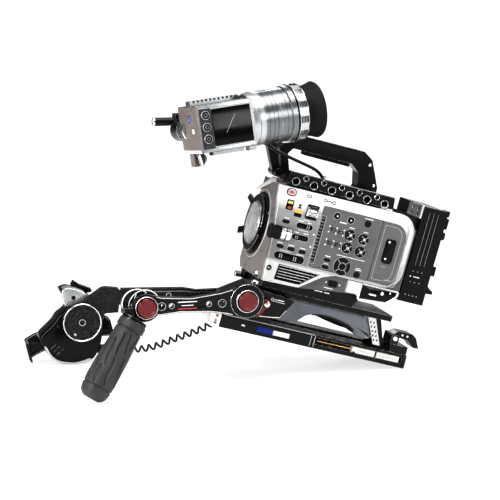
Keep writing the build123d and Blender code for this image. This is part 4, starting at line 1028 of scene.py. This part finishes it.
def dial_sleeves(bm, local):
    """Two bright sleeves on the ND dial's shaft."""
    for start in (10.15, 18.15):
        add_lathe(bm, [(start, 9.6), (start, 10.1), (start + 0.3, 10.35), (start + 6.1, 10.35),
                       (start + 6.4, 10.1), (start + 6.4, 9.6)], along_x(DIAL_CENTRE), 72)


draw("dial_sleeves", "bare", dial_sleeves, body="nd_dial", local=TOP, smooth=25)


def dial_ribs(bm, local):
    """Ribs of the ND dial's rubber."""
    for rib in around(along_x(DIAL_CENTRE), 36):
        add_box(bm, (9.8, -0.5, -5.6), (10.45, 0.5, 8.2), rib, 0.12)


draw("dial_ribs", "rubber", dial_ribs, body="nd_dial", local=TOP)

# Slots, ovals and switches.
draw("slot_floors", "gloss",
     *[plate(pill(x, z, length - 0.3, height - 0.3), -2.55, -2.2, 0.05)
       for x, z, length, height in SLOTS], plate(soft_box(63.7, 69.3, -29.8, 38.8, 1), -2.1, -1.7, 0.05),
     **on_panel)
draw("slot_rims", "dim_print",
     *[pill_ring(x, z, length, height, 0.5, -0.2, 0.2, 0.1) for x, z, length, height in SLOTS],
     *[pill_ring(x, z, 11.6, 5.6, 0.45, -0.2, 0.15, 0.1) for x, z in PANEL_OVALS], **on_panel)
draw("inset_rims", "dim_print",
     *[pill_ring(x, z, 11.6, 5.6, 0.5, -0.6, -0.2, 0.1) for x, z in INSET_OVALS],
     *[round_ring(at, 8.9, 8.2, -0.6, -0.15, 0.12) for at in KNOBS],
     *[round_ring(at, 5.6, 5.0, -0.6, -0.2, 0.1) for at in INSET_ROUNDS[:2]],
     round_ring(PAD_CENTRE, 13.5, 12.8, -0.6, -0.1, 0.15),
     soft_ring((62.8, 70.2, -30.8, 39.8, 1.2), (63.4, 69.6, -30.2, 39.2, 1.2), -0.6, -0.15, 0.1),
     **on_panel)
draw("round_seats", "gloss",
     *[round_ring(at, 5.0, 3.55, -0.6, -0.25, 0.1) for at in INSET_ROUNDS], **on_panel)
draw("switch_tips", "dim_print",
     *[box(x, x + 0.8, low, low + 4.8, 1.3, 1.6)
       for x, low in ((32.2, -1.6), (35.0, -1.6), (45.2, 15.4), (48.0, 15.4))],
     *[box(x, x + 1.0, -33.6, -27.4, 1.3, 1.6) for x in (16.4, 19.6, 37.9, 41.1)],
     *[box(x - 1.4, x + 1.4, z - 0.3, z + 0.3, 0.7, 0.95) for x, z in TOGGLES], slot="black_plastic",
     body="toggle_switches", **on_panel)


def four_way(bm, local):
    """Ring and four diagonal lines of the four-way pad."""
    for line in around(at_point(local, PAD_CENTRE), 4, math.radians(45)):
        add_box(bm, (6.2, -0.35, 0.9), (11.9, 0.35, 1.15), line)
    add_ring(bm, circle(5.9, PAD_CENTRE), circle(5.3, PAD_CENTRE), 0.9, 1.2, local, 0.1)


draw("pad_lines", "dim_print", four_way, body="push_buttons", **on_panel)
draw("button_arrows", "print",
     *[plate([(x - 0.9, z - 1.4), (x + 1.7, z), (x - 0.9, z + 1.4)], 0.95, 1.1, 0.02)
       for x, z in INSET_ROUNDS[:2]], body="push_buttons", **on_panel)

for number, centre in enumerate(KNOBS, start=1):
    def knob_marks(bm, local, centre=centre):
        """Cross and cap on the knob's face."""
        for arm in around(at_point(local, centre), 4, math.radians(45)):
            add_box(bm, (3.4, -0.45, 3.7), (6.2, 0.45, 3.95), arm)
        add_prism(bm, circle(2.3, centre, 24), 3.7, 4.3, 0.3, local)
    draw(f"knob_marks_{number}", "dim_print",
         knob_marks, slot="white_plastic", body=f"audio_knob_{number}", **on_panel)

# Plain dashes where the real panel is lettered.
draw("panel_labels", "print",
     dash(13, 23.6, 7), dash(35, 24.6, 8), dash(48, 24.2, 6), dash(33, 7.4, 7), dash(47, 8.0, 8),
     dash(42, 11.6, 16, 0.6), dash(13, -12.3, 8), dash(30.6, -12.8, 9), dash(48.2, -13.2, 9),
     dash(24, -22.4, 16, 0.7), dash(47, -23.4, 12, 0.7), dash(43, 27, 10, 0.7), dash(91, 61.6, 10, 0.9),
     dash(58.4, 10, 2.4, 2.4), dash(58.6, -8, 2.2, 2.2), **on_panel)
draw("inset_labels", "print",
     *[dash(x + dx, z + dz, 1.8, 2.0, -0.4) for x, z in TOGGLES for dx in (-5.6, 5.6) for dz in (-4, 4)],
     *[dash(x + 1, z + 10.4, 8, 1.0, -0.4) for x, z in KNOBS], dash(133.5, 50.5, 13, 0.9, -0.4),
     dash(122, -9.8, 44, 0.8, -0.4), dash(88, -15.2, 9, 1.0, -0.4), dash(88, -26.2, 7, 0.8, -0.4),
     dash(138, -24.6, 10, 0.9, -0.4), dash(138, -22.4, 7, 0.8, -0.4), dash(97, 36.5, 11, 1.4, -0.4),
     **on_panel)
draw("screw_seat", "gloss", disc((7, -50.8), 3.8, -2.4, -1.6, 0.2, 48), **on_panel)
draw("screw_ring", "dim_print",
     round_ring((7, -50.8), 5.0, 4.0, -0.2, 0.3, 0.15), disc((7, -50.8), 1.3, -1.7, -1.1, 0.2, 20),
     **on_panel)
draw("vent_floor", "gloss",
     plate([(21, -43), (82, -44.3), (56.5, -64), (19, -64)], -4.4, -3.8, 0.05), **on_panel)
draw("vent_bars", "edge",
     *[box(21.6, right, -44.2 - 4.1 * row, -43.5 - 4.1 * row, -0.5, 0.1)
       for row, right in enumerate((81, 76, 71, 65.5, 60))], **on_panel)

# Lower rear frame with its dark pocket, the power switch's marks and the flap's seam.
corner = rounded([(150, -41), (210.5, -41), (210.5, -50), (196, -63.5), (150, -67)], [2, 3, 8, 8, 3])
draw("corner_frame", "edge", ring(corner, inset(corner, 2.6), -1.5, 2.6, 0.5), **on_lower_shell)
draw("corner_pocket", "gloss", plate(inset(corner, 2.4), -1.5, 0.4, 0.1), **on_lower_shell)
draw("corner_fittings", "bare",
     disc((186, -50), 2.6, 0.3, 1.4, 0.3, 48), plate(pill(172, -55, 12, 2.2), 0.3, 1.2, 0.3),
     disc((198, -47), 1.5, 0.3, 1.2, 0.3, 48), **on_lower_shell)
draw("power_marks", "print",
     dash(98, -52.6, 1.6, 2.2, 0.6), dash(119, -52.6, 2.2, 2.2, 0.6), dash(104, -60.5, 14, 1.0, 0.4),
     **on_lower_shell)
draw("power_frame", "gloss",
     soft_ring((101.5, 115.5, -57.5, -48.5, 2), (103.3, 113.7, -55.7, -50.3, 1), -0.1, 1.4, 0.3),
     **on_lower_shell)
draw("flap_seam", "dim_print",
     soft_ring((129.3, 152.7, -60.2, -40.8, 2), (130.1, 151.9, -59.4, -41.6, 1.6), -0.1, 1.2, 0.2),
     **on_lower_shell)


# ---------------------------------------------------------------- viewfinder
on_evf = above(36.0, body="viewfinder", place=EVF)
draw("evf_strip", "leathery", plate(soft_box(-38, -20.5, -27.5, 27, 1.5), -0.2, 0.06, 0.05), **on_evf)
draw("evf_window", "gloss", plate(soft_box(-20.3, 36.5, -25, 25.2, 1.2), -0.1, 0.45, 0.2), **on_evf)
draw("evf_glint", "dim_print",
     plate([(-2.2, -9), (-1.8, -9.2), (13.6, 14.6), (13.2, 14.8)], 0.43, 0.5, 0.01), **on_evf)
draw("evf_button_rings", "evf_light",
     *[round_ring((-29, z), 5.9, 5.4, -0.1, 0.5, 0.15) for z in (18, 2, -14)], slot="bare_aluminium",
     **on_evf)
draw("evf_button_tops", "evf_grey",
     *[round_ring((-29, z), 2.6, 2.1, 37.1, 37.35, 0.08) for z in (18, 2, -14)], slot="bare_aluminium",
     body="evf_buttons", place=EVF)
draw("evf_top_band", "evf_light",
     plate([(-38, 27.6), (38.8, 25.8), (38.8, 31.2), (36, 32), (-38, 32)], -0.3, 0.6, 0.5), **on_evf)
draw("evf_low_band", "evf_light",
     plate([(-38, -31.6), (39, -31.6), (39, -26.2), (-38, -28.0)], -0.3, 0.5, 0.4), **on_evf)
draw("evf_band_seams", "gloss",
     box(-25.6, -25.1, 27.4, 32, 0.5, 0.66, 0.02), box(14.0, 14.5, 26.6, 32, 0.5, 0.66, 0.02),
     box(-19.5, -19.1, -31.5, -27.8, 0.4, 0.56, 0.02), **on_evf)
on_nose = above(41.0, FRONT, body="viewfinder", place=EVF)
draw("front_badge", "blue", disc((3.6, 15), 5.4, -0.1, 0.25, 0.1, 48), slot="evf_taupe", **on_nose)
draw("front_badge_ring", "dim_print", round_ring((3.6, 15), 2.9, 2.2, 0.2, 0.35, 0.05), **on_nose)
draw("front_label", "print", box(9.4, 17.4, -5, 1, -0.1, 0.15, 0.05), **on_nose)
draw("front_label_mark", "dim_print",
     box(10.6, 13.0, -3.4, -0.6, 0.1, 0.25, 0.02), box(14.0, 16.2, -3.4, -0.6, 0.1, 0.25, 0.02), **on_nose)
draw("front_foot_strip", "cream", box(-35, 35, -32.2, -27.6, -0.3, 0.4, 0.4), **on_nose)
draw("front_frame", "evf_grey",
     soft_ring((-35.6, 35.6, -32.1, 32.1, 4), (-34.2, 34.2, -30.7, 30.7, 3), -0.2, 0.2, 0.15), **on_nose)


def lug(bm, local):
    """Bracket and knurled knob under the viewfinder."""
    add_layers(bm, [[(x, y, z) for x, z in ((-40, -32), (-30, -32), (-29, -44), (-33, -51), (-38, -47))]
                    for y in (-12.5, -2.5)])
    add_lathe(bm, [(2.2, 0.1), (2.2, 6.4), (3.4, 7.0), (10.4, 7.0), (11.6, 6.2), (11.6, 0.1)],
              facing((0, 0, 1), (1, 0, 0), (-33, -14, -40.5)), 40)


draw("lug_knob", "anodised", lug, body="viewfinder", place=EVF, local=TOP)
draw("lug_plate", "bare",
     plate([(-39.5, -33), (-36, -33), (-33, -49), (-34.5, -51), (-38.4, -46)], 12.6, 13.4, 0.3),
     body="viewfinder", place=EVF)

on_barrel = dict(body="viewfinder", place=BARREL, smooth=25)
draw("barrel_flange", "evf_light",
     lathe_x((41.2, 30), (41.2, 36.0), (44.5, 37.2), (49.4, 38.0), (57.2, 38.0), (57.6, 37.4), (57.6, 30)),
     **on_barrel)
draw("barrel_lines", "gloss",
     *[lathe_x((x, 36), (x, r), (x + 0.5, r), (x + 0.5, 36))
       for x, r in ((49.2, 38.1), (63, 37.55), (70, 37.55), (75.6, 37.55), (90.4, 37.85), (96.5, 37.9))],
     **on_barrel)
draw("barrel_rings", "evf_light",
     *[lathe_x((x, 36), (x, r), (x + 0.35, r), (x + 0.35, 36))
       for x, r in ((58.2, 37.5), (80.6, 37.5), (82.2, 37.85), (97.2, 38.2), (104.4, 39.75))], **on_barrel)


def top_patch(bm, local):
    """Plain coloured patch wrapped on top of the barrel."""
    turns = [math.radians(2 + 13 * k / 6) for k in range(7)]
    rim = [(64, turn) for turn in turns] + [(74, turn) for turn in reversed(turns)]
    add_layers(bm, [[(x, -r * math.sin(turn), r * math.cos(turn)) for x, turn in rim]
                    for r in (37.35, 37.75)])


draw("barrel_patch", "blue", top_patch, body="viewfinder", place=BARREL, local=TOP)
draw("focus_bands", "gloss",
     lathe_x((105.2, 38), (105.2, 40.8), (107.4, 40.9), (107.4, 38)),
     lathe_x((121.4, 38), (121.4, 40.2), (122.5, 40.1), (122.5, 38)), body="focus_ring", place=BARREL,
     smooth=25)


def focus_grips(bm, local):
    """Twelve patches of ribs round the focus ring."""
    for k in range(12):
        patch = Matrix.Rotation(math.radians(30 * k + 15), 4, "X")
        for x in (109.6, 112.0, 114.4, 116.8, 119.2):
            add_box(bm, (x - 0.55, -4.4, 39.6), (x + 0.55, 4.4, 40.95), patch, 0.15)


draw("focus_grips", "black", focus_grips, body="focus_ring", place=BARREL, local=TOP)


def eyecup_ribs(bm, local):
    """Flared eyecup with fine rings."""
    profile = [(122.9, 29.2), (122.9, 35.2)]
    for k in range(13):
        x = 124 + 1.75 * k
        radius = 34.4 + 0.05 * k + 4.2 * max(0.0, (k - 2) / 10) ** 1.4
        profile += [(x, radius), (x + 0.9, radius + 0.45), (x + 1.3, radius)]
    profile += [(147.6, 39.0), (149.0, 38.2), (148.6, 37.0), (141, 33.6), (134, 31.2), (129, 29.4)]
    add_lathe(bm, profile, along_x((0, 0, 0)), 96)


cup = draw("ribbed_eyecup", "rubber", eyecup_ribs, body="viewfinder", place=BARREL, local=TOP, smooth=40)
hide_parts("eyecup")

HUB = facing((0, 0, 1), (1, 0, 0), (-28.5, 0, -0.5))
draw("hub_rings", "bare",
     lathe([(17.0, 13.6), (17.0, 16.4), (18.2, 16.9), (20.6, 16.9), (21.6, 16.2), (21.6, 13.6)], HUB),
     lathe([(42.8, 13.6), (42.8, 16.5), (44.0, 16.5), (44.0, 13.6)], HUB), body="evf_rod", place=EVF,
     smooth=25)
draw("rod_cap", "bare",
     lathe_x((-127.6, 0.1), (-127.6, 5.4), (-126.8, 6.15), (-124.8, 6.15), (-124.8, 0.1), at=(0, -20, 373),
             steps=48), body="evf_rod", place=FLOOR, smooth=25)

# ---------------------------------------------------------------- front, top rail and handle
def lens_rings(*items):
    """Rings round the lens axis from inner radius, outer radius, and front and back X."""
    def shape(bm, local):
        for inner, outer, front_x, back_x in items:
            add_lathe(bm, [(front_x, inner), (front_x, outer - 0.2), (front_x + 0.2, outer), (back_x, outer),
                           (back_x, inner)], along_x((0, 8, 0)), 96)
    return shape


draw("cap_lines", "evf_grey",
     lens_rings((18.6, 19.2, -11.25, -10.9), (13.2, 13.8, -11.25, -10.9), (24.2, 24.7, -11.8, -11.4),
                (28.2, 28.7, -11.2, -10.8)), slot="front_taupe", smooth=25)
draw("cap_rim", "bare", lens_rings((29.8, 31.0, -11.3, -8)), smooth=25)
draw("ring_rims", "bare",
     lens_rings((31.7, 32.4, -9.9, -9), (41.2, 42.1, -9.0, -8.4)), body="lock_ring", smooth=25)
draw("flange_rings", "black", lens_rings((42.6, 45.2, -4.4, -3.6), (45.4, 46.4, -3.4, -2)), smooth=25)
draw("flange_edges", "cream", lens_rings((50.2, 51.1, -2.5, -1.5)), slot="front_taupe", smooth=25)
draw("lock_marks", "print", disc((-8 + 46.5, 22), 1.4, 4.0, 4.3, 0.05, 20), local=FRONT)
draw("foot_tip", "bare",
     lathe_x((-11.6, 0.1), (-11.6, 3.6), (-11, 4.25), (-2.5, 4.25), (-2.5, 0.1), at=(0, 20, -80.5),
             steps=40), smooth=25)
draw("lower_foot", "bare",
     lathe_x((-6.5, 0.1), (-6.5, 4.6), (-5.8, 5.2), (5, 5.2), (5, 0.1), at=(0, -56, -64), steps=40),
     smooth=25)
draw("visor_edge", "cream",
     plate(rounded([(-34.5, 45.5), (-44.5, 45), (19.5, 71.5), (39, 72.5), (42.5, 67.5), (29, 66)], 1), 6.9,
           7.6, 0.3), slot="front_taupe", local=FRONT)

HOLE_PITCH = 27.6
LARGE_HOLES = [(12.3 + HOLE_PITCH * i, 77.0) for i in range(6)]
SMALL_HOLES = [(x + HOLE_PITCH / 2, 84.0) for x, z in LARGE_HOLES[:-1]]
on_rail = above(71.0)
draw("rail_rings", "bare",
     *[round_ring(at, 5.9, 5.4, -0.1, 0.25, 0.1) for at in LARGE_HOLES],
     *[round_ring(at, 4.1, 3.7, -0.1, 0.2, 0.1) for at in SMALL_HOLES], **on_rail)
draw("rail_lips", "black",
     *[round_ring(at, 7.6, 6.6, -0.1, 0.5, 0.25) for at in LARGE_HOLES],
     *[disc((x + HOLE_PITCH / 2, 75.6), 2.0, -0.1, 0.4, 0.2, 20) for x, z in LARGE_HOLES[:-1]],
     slot="black_anodised", **on_rail)
draw("rail_edge", "evf_grey",
     box(3.2, 163.4, 88.7, 89.8, -0.8, 0.3, 0.3), slot="black_anodised", **on_rail)
draw("plug_ring", "bare",
     lathe([(7.5, 4.0), (7.5, 4.5), (8.6, 4.5), (8.6, 4.0)],
           upright((121.5, -37, 281), (-0.456, -0.183, 0.878)), 32), place=Matrix.Identity(4), smooth=25)
draw("handle_screws", "bare", *[disc(at, 2.2, 12.9, 13.5, 0.2) for at in ((148, 96), (134, 124))])
draw("handle_pads", "rubber",
     plate(rounded([(24, 124), (31, 136.5), (118, 137.4), (128, 129), (118, 123), (30, 122)], 3), 12.9,
           14.2, 0.6))
draw("link_screws", "bare",
     disc((40, 373), 2.4, 30, 30.9, 0.3), disc((40, 355), 3.6, 26.4, 27.6, 0.4), body="evf_link",
     place=FLOOR)
draw("rod_screw", "bare", disc((-85, 373), 2.4, 30.9, 31.9, 0.3), body="evf_rod", place=FLOOR)

# ---------------------------------------------------------------- arms
ARM_REAR, ARM_FRONT = (-12.0, 127.0), (-155.5, 125.3)
on_arm = above(103.0, body="near_arm", place=FLOOR)
draw("arm_rings", "bare",
     *[round_ring(at, 16.0, 14.8, 2.2, 3.2, 0.4) for at in (ARM_REAR, ARM_FRONT)],
     round_ring(ARM_REAR, 23.8, 23.4, -0.1, 0.3, 0.15), **on_arm)
draw("arm_hole_rings", "dim_print",
     *[round_ring((x, 126), r + 0.7, r, -0.1, 0.35, 0.15)
       for x, r in ((-134, 5.2), (-120, 3.4), (-67, 3.4), (-48, 5.2))], slot="bare_aluminium", **on_arm)
draw("arm_stripe", "red_plastic", box(-111, -84, 120.6, 121.8, -0.05, 0.1, 0.02), **on_arm)
draw("arm_stripes", "print",
     box(-111, -84, 130.0, 131.2, -0.05, 0.1, 0.02), box(-106, -89, 125.2, 126.2, -0.05, 0.1, 0.02),
     **on_arm)

# Bright bare-metal lines along the arm's upper and lower edges, painted highlights.
draw("arm_edge_highlights", "bare",
     edge_line([(-33, 144.6), (-49, 140.6), (-92, 135.2), (-134, 138), (-141, 140)], -0.9, -0.1, 0.3),
     edge_line([(-141, 114), (-106, 117), (-64, 115), (-42, 111), (-33, 108.6)], 0.9, -0.1, 0.3), **on_arm)
for name, at in (("arm_lock_button", ARM_REAR), ("handle_lock_button", ARM_FRONT)):
    draw(f"{name}_rim", "red",
         round_ring(at, 13.2, 12.2, 108.5, 109.2, 0.3), round_ring(at, 9.8, 9.4, 108.7, 108.95, 0.08),
         body=name, place=FLOOR)
on_handle = dict(body="handle", place=FLOOR)
draw("handle_joint_ring", "print",
     round_ring(ARM_FRONT, 23.4, 21.8, 90.6, 91.9, 0.4, 72),
     round_ring((-167, 129.5), 20.9, 19.3, 90.4, 91.9, 0.4, 72), slot="bare_aluminium", **on_handle)
draw("handle_joint_line", "print",
     plate([(-181.8, 112.6), (-181.0, 112.2), (-166.8, 143.2), (-167.6, 143.6)], 91.6, 92.0, 0.05),
     slot="bare_aluminium", **on_handle)
draw("far_arm_screws", "dim_print",
     *[round_ring((x, 102), 4.2, 3.2, -84.2, -83.6, 0.15) for x in (-140, -110, -84)],
     slot="bare_aluminium", body="far_arm", place=FLOOR)
draw("far_arm_rib", "evf_grey",
     plate([(-150, 111.6), (-62, 108.9), (-40, 105.6), (40, 105.4), (40, 103.6), (-41, 103.8),
            (-63, 106.9), (-150, 109.6)], -84.3, -83.4, 0.2), slot="black_anodised", body="far_arm",
     place=FLOOR)

# ---------------------------------------------------------------- shoulder base and tripod plate
on_wing, on_base, on_plate = above(80.0), above(57.0), above(50.0)
NEAR_HUB = (-19.9, -100.6)
LEVER_PIVOT = (13.9, -100.7)
draw("hub_rim", "bare", round_ring(NEAR_HUB, 22.2, 21.4, 91.0, 91.6, 0.2))


def teeth(bm, local):
    """Radial teeth of the rosette."""
    for tooth in around(at_point(local, NEAR_HUB), 48):
        add_box(bm, (13.5, -0.35, 91.4), (20.6, 0.35, 91.95), tooth)


draw("rosette_teeth", "anodised", teeth)
# Bright line along the wing's lower edge, a painted highlight.
draw("wing_edge_highlight", "bare",
     edge_line([(3, -121.9), (28, -118.9), (40, -116.5), (47, -104)], 0.9, -0.2, 0.4), **on_wing)
draw("wing_marks", "print",
     dash(33, -92.4, 14, 1.1), dash(33, -95.2, 18, 0.6),
     round_ring((22.6, -92.8), 2.2, 1.6, -0.05, 0.12, 0.02), **on_wing)
draw("lever_screw", "chrome", disc(LEVER_PIVOT, 3.9, 88.3, 89.6, 0.4, 32))
draw("lever_stud", "gold", disc(LEVER_PIVOT, 1.7, 89.5, 90.4, 0.3))
draw("lever_face", "red",
     round_ring(LEVER_PIVOT, 6.4, 4.6, 86.2, 87.0, 0.3),
     plate(rounded([(9.6, -102.5), (13.8, -106.4), (6.6, -119.8), (3.0, -121.0)], 0.8), 86.2, 87.0, 0.35),
     body="release_lever")
draw("wing_knob", "chrome",
     lathe([(-78.5, 0.1), (-78.5, 4.9), (-77.6, 5.3), (-74.2, 5.3), (-73.4, 4.6), (-73.4, 0.1)],
           Matrix.Translation((-5.4, -68, 0)), 40), smooth=25)
draw("base_grooves", "gloss",
     box(12, 146, -77.4, -76.8, 0, 0.25, 0.05), disc((30, -75), 2.4, -0.1, 0.3, 0.1),
     disc((120, -75), 2.4, -0.1, 0.3, 0.1), **on_base)
draw("base_marks", "print", dash(94, -69.0, 12, 1.4), dash(107, -69.0, 8, 1.4), **on_base)
draw("base_lip", "evf_grey", box(10, 220, -81.9, -81.0, 44.6, 45.4, 0.2), slot="black_anodised")
draw("plate_label", "blue",
     box(22, 47, -147.2, -140.2, -0.1, 0.2, 0.05), slot="black_plastic", **on_plate)
draw("plate_label_blank", "print",
     box(47, 72, -147.4, -140.6, -0.1, 0.22, 0.05), box(-2, 3, -144.4, -142.2, -0.1, 0.15, 0.03),
     **on_plate)
# Grey strip along the plate's top edge, a painted highlight of its top face.
draw("plate_top_highlight", "dim_print",
     box(-32, 110, -134.2, -133.2, -0.6, 0.2, 0.2), slot="black_anodised", **on_plate)
draw("plate_grooves", "gloss",
     box(-32, 110, -137.2, -136.6, -0.05, 0.2, 0.05), box(108.5, 110, -150, -134.6, -0.05, 0.3, 0.1),
     **on_plate)
draw("plate_ends", "dim_print",
     box(110.6, 111.6, -150.5, -134.6, -0.1, 0.4, 0.1), box(104.8, 105.6, -150.5, -134.6, -0.1, 0.3, 0.1),
     slot="bare_aluminium", **on_plate)


def coil_spring(bm, local):
    """Spring that drives the release wedge, as close turns on a rod."""
    profile = [(116, 0.6)]
    for k in range(20):
        x = 116 + 1.9 * k
        profile += [(x, 0.8), (x + 0.45, 1.6), (x + 0.9, 1.6), (x + 1.35, 0.8)]
    profile += [(156, 1.0), (170, 1.0), (170, 0.6)]
    add_lathe(bm, profile, along_x((0, -45.5, -142)), 24)


draw("wedge_spring", "gold", coil_spring, local=TOP)
draw("wedge_marks", "dim_print",
     box(178, 202, -142.2, -141.4, -0.5, -0.2, 0.05), box(214, 242, -142.2, -141.4, -0.5, -0.2, 0.05),
     slot="white_plastic", body="release_wedge", **on_plate)
draw("wedge_gap", "gloss",
     box(207.6, 210.4, -146.4, -137.2, -0.55, -0.2, 0.05),
     box(173, 177, -146.4, -144.4, -0.55, -0.2, 0.05), body="release_wedge", **on_plate)
draw("bracket_screws", "dim_print",
     round_ring((-41, -137.5), 2.6, 1.8, -0.1, 0.6, 0.2), slot="bare_aluminium", **on_plate)
draw("latch_pin", "bare",
     round_ring((235, -113), 3.4, 2.2, 44.0, 44.8, 0.2), disc((235, -113), 2.2, 43.8, 44.5, 0.2))
draw("latch_studs", "bare",
     disc((254, -106), 1.6, 40.1, 40.9, 0.2, 20), disc((246, -106), 1.6, 40.1, 40.9, 0.2, 20),
     body="rear_latch")

# ---------------------------------------------------------------- battery adapter
on_adapter = above(55.0)
draw("adapter_grooves", "dim_print",
     *[box(x - 0.25, x + 0.25, 1, 81, -1.2, -0.6, 0.05) for x in (229, 236, 243)], slot="black_plastic",
     **on_adapter)
draw("adapter_dots", "dim_print",
     *[disc((x, z), 0.8, -0.1, 0.25, 0.08, 12) for z in (-8, -24) for x in (228, 235, 242)],
     *[disc((x, -44), 0.8, -0.1, 0.25, 0.08, 12) for x in (226, 232, 238, 244)], slot="bare_aluminium",
     **on_adapter)
draw("adapter_mark", "print", dash(235.5, -16, 10, 1.4), dash(226, -16, 2, 2), **on_adapter)
draw("adapter_pins", "gold",
     *[box(-49.6, -46.4, 10 + 4.0 * k, 12 + 4.0 * k, 258.4, 259.9, 0.2) for k in range(8)], local=REAR)
draw("adapter_plate", "anodised", plate(soft_box(-42, 38, -34, 58, 4), 259.4, 260.2, 0.3), local=REAR)
draw("adapter_slots", "gloss",
     *[plate(soft_box(u - 4, u + 4, v - 9, v + 9, 2), 260.1, 260.5, 0.1)
       for u in (-28, 24) for v in (36, -14)], local=REAR)
draw("adapter_screws", "bare",
     *[disc(at, 2.4, 256.9, 257.9, 0.3, 20) for at in ((46, 84), (-51, -51), (46, -51))], local=REAR)
draw("release_lines", "dim_print",
     *[box(-46 + 5 * k, -44 + 5 * k, 81.5, 88, 262.4, 262.8, 0.1) for k in range(4)], slot="black_plastic",
     body="battery_release", local=REAR)

# ---------------------------------------------------------------- far side of the body
on_far = above(73.0, FAR)
draw("far_panel", "panel",
     ring(rounded([(-190, -50), (-122, -56), (-64, -63), (-16, -63), (-16, 60), (-192, 60), (-204, 48),
                   (-204, -38)], 5),
          rounded([(-188.5, -48), (-122, -54), (-64, -61), (-18, -61), (-18, 58), (-191, 58), (-202, 47),
                   (-202, -37)], 4.6), -0.1, 0.6, 0.3), **on_far)
draw("far_ports", "gloss",
     *[disc((-34, z), 6.2, -0.1, 0.9, 0.3, 32) for z in (36, 12, -12, -36)],
     *[plate(soft_box(-84, -58, z - 6, z + 6, 2), -0.1, 0.7, 0.3) for z in (34, 10, -14, -38)], **on_far)
draw("far_port_rings", "bare",
     *[round_ring((-34, z), 7.6, 6.3, -0.1, 1.3, 0.3) for z in (36, 12, -12, -36)], **on_far)
draw("far_labels", "print",
     *[dash(-34, z + 9.6, 9, 0.9) for z in (36, 12, -12, -36)],
     *[dash(-71, z + 8.6, 12, 0.9) for z in (34, 10, -14, -38)], **on_far)
draw("far_screws", "bare",
     *[disc(at, 2.2, -0.1, 0.7, 0.3, 20) for at in ((-20, 55), (-196, 44), (-20, -58), (-194, -40))],
     **on_far)


# ---------------------------------------------------------------- floor, light and camera
floor_mesh = bpy.data.meshes.new("floor")
floor_mesh.from_pydata([(-6, -6, 0), (6, -6, 0), (6, 6, 0), (-6, 6, 0)], [], [(0, 1, 2, 3)])
floor = bpy.data.objects.new("floor", floor_mesh)
scene.collection.objects.link(floor)

def studio_floor():
    """White floor that runs out into an even glow round the object."""
    material = surface("studio_floor", (0.93, 0.93, 0.93), 0.6, bump=0.0, vary=0.01, specular=0.1)
    tree = material.node_tree
    coord = node(tree, "TexCoord").outputs["Object"]
    out = node(tree, "VectorMath", {0: coord}, operation="LENGTH").outputs["Value"]
    shader = only(tree, "BSDF_PRINCIPLED")
    white = node(tree, "Emission", {"Color": (1.0, 1.0, 1.0, 1.0), "Strength": 1.0})
    seen = node(tree, "LightPath").outputs["Is Camera Ray"]
    blend = node(tree, "MixShader", {0: math_node(tree, "MULTIPLY", ramp(tree, out, 0.2, 0.7, 0.6), seen)})
    tree.links.new(shader.outputs[0], blend.inputs[1])
    tree.links.new(white.outputs[0], blend.inputs[2])
    tree.links.new(blend.outputs[0], only(tree, "OUTPUT_MATERIAL").inputs[0])
    return material


floor.data.materials.append(studio_floor())

world = bpy.data.worlds.new("studio")
scene.world = world
world.use_nodes = True
tree = world.node_tree
tree.nodes.clear()
seen = node(tree, "Background", {"Color": (1.0, 1.0, 1.0, 1.0), "Strength": 1.0})
lit = node(tree, "Background", {"Color": (1.0, 1.0, 1.0, 1.0), "Strength": 0.16})
split = node(tree, "MixShader", {0: node(tree, "LightPath").outputs["Is Camera Ray"]})
tree.links.new(lit.outputs[0], split.inputs[1])
tree.links.new(seen.outputs[0], split.inputs[2])
tree.links.new(split.outputs[0], node(tree, "OutputWorld").inputs[0])


def softbox(name, at, aim, width, height, power):
    light = bpy.data.lights.new(name, "AREA")
    light.shape = "RECTANGLE"
    light.size, light.size_y = width, height
    light.energy = power
    obj = bpy.data.objects.new(name, light)
    scene.collection.objects.link(obj)
    obj.location = at
    obj.rotation_mode = "QUATERNION"
    obj.rotation_quaternion = (Vector(aim) - Vector(at)).to_track_quat("-Z", "Y")
    return obj


softbox("key_left", (-1.6, -0.9, 0.9), (0, 0, 0.2), 0.7, 1.3, 36)
softbox("top", (0.0, -0.3, 1.8), (0, 0, 0.2), 1.5, 1.2, 44)
softbox("front_right", (1.1, -1.8, 0.8), (0.05, 0, 0.2), 0.7, 0.7, 14)
softbox("rear_rim", (0.9, 1.5, 1.1), (0, 0, 0.25), 1.0, 1.0, 20)

# The photograph's view: azimuth and elevation in degrees, a long lens, place in the floor frame.
AZIMUTH, ELEVATION = -15, 10
LENS, SENSOR = 118.08, 36.0
CAMERA_AT = (-589.3, -2272.3, 595.5)
camera_data = bpy.data.cameras.new("camera")
camera_data.lens = LENS
camera_data.sensor_width = SENSOR
camera_data.clip_start, camera_data.clip_end = 0.1, 40.0
camera = bpy.data.objects.new("camera", camera_data)
scene.collection.objects.link(camera)
azimuth, elevation = math.radians(AZIMUTH), math.radians(ELEVATION)
back = Vector((math.sin(azimuth) * math.cos(elevation), -math.cos(azimuth) * math.cos(elevation),
               math.sin(elevation)))
camera.location = FLOOR @ Vector(CAMERA_AT)
camera.rotation_mode = "QUATERNION"
camera.rotation_quaternion = (-back).to_track_quat("-Z", "Y")
scene.camera = camera
scene.view_settings.view_transform = "Standard"
scene.view_settings.look = "Medium High Contrast"
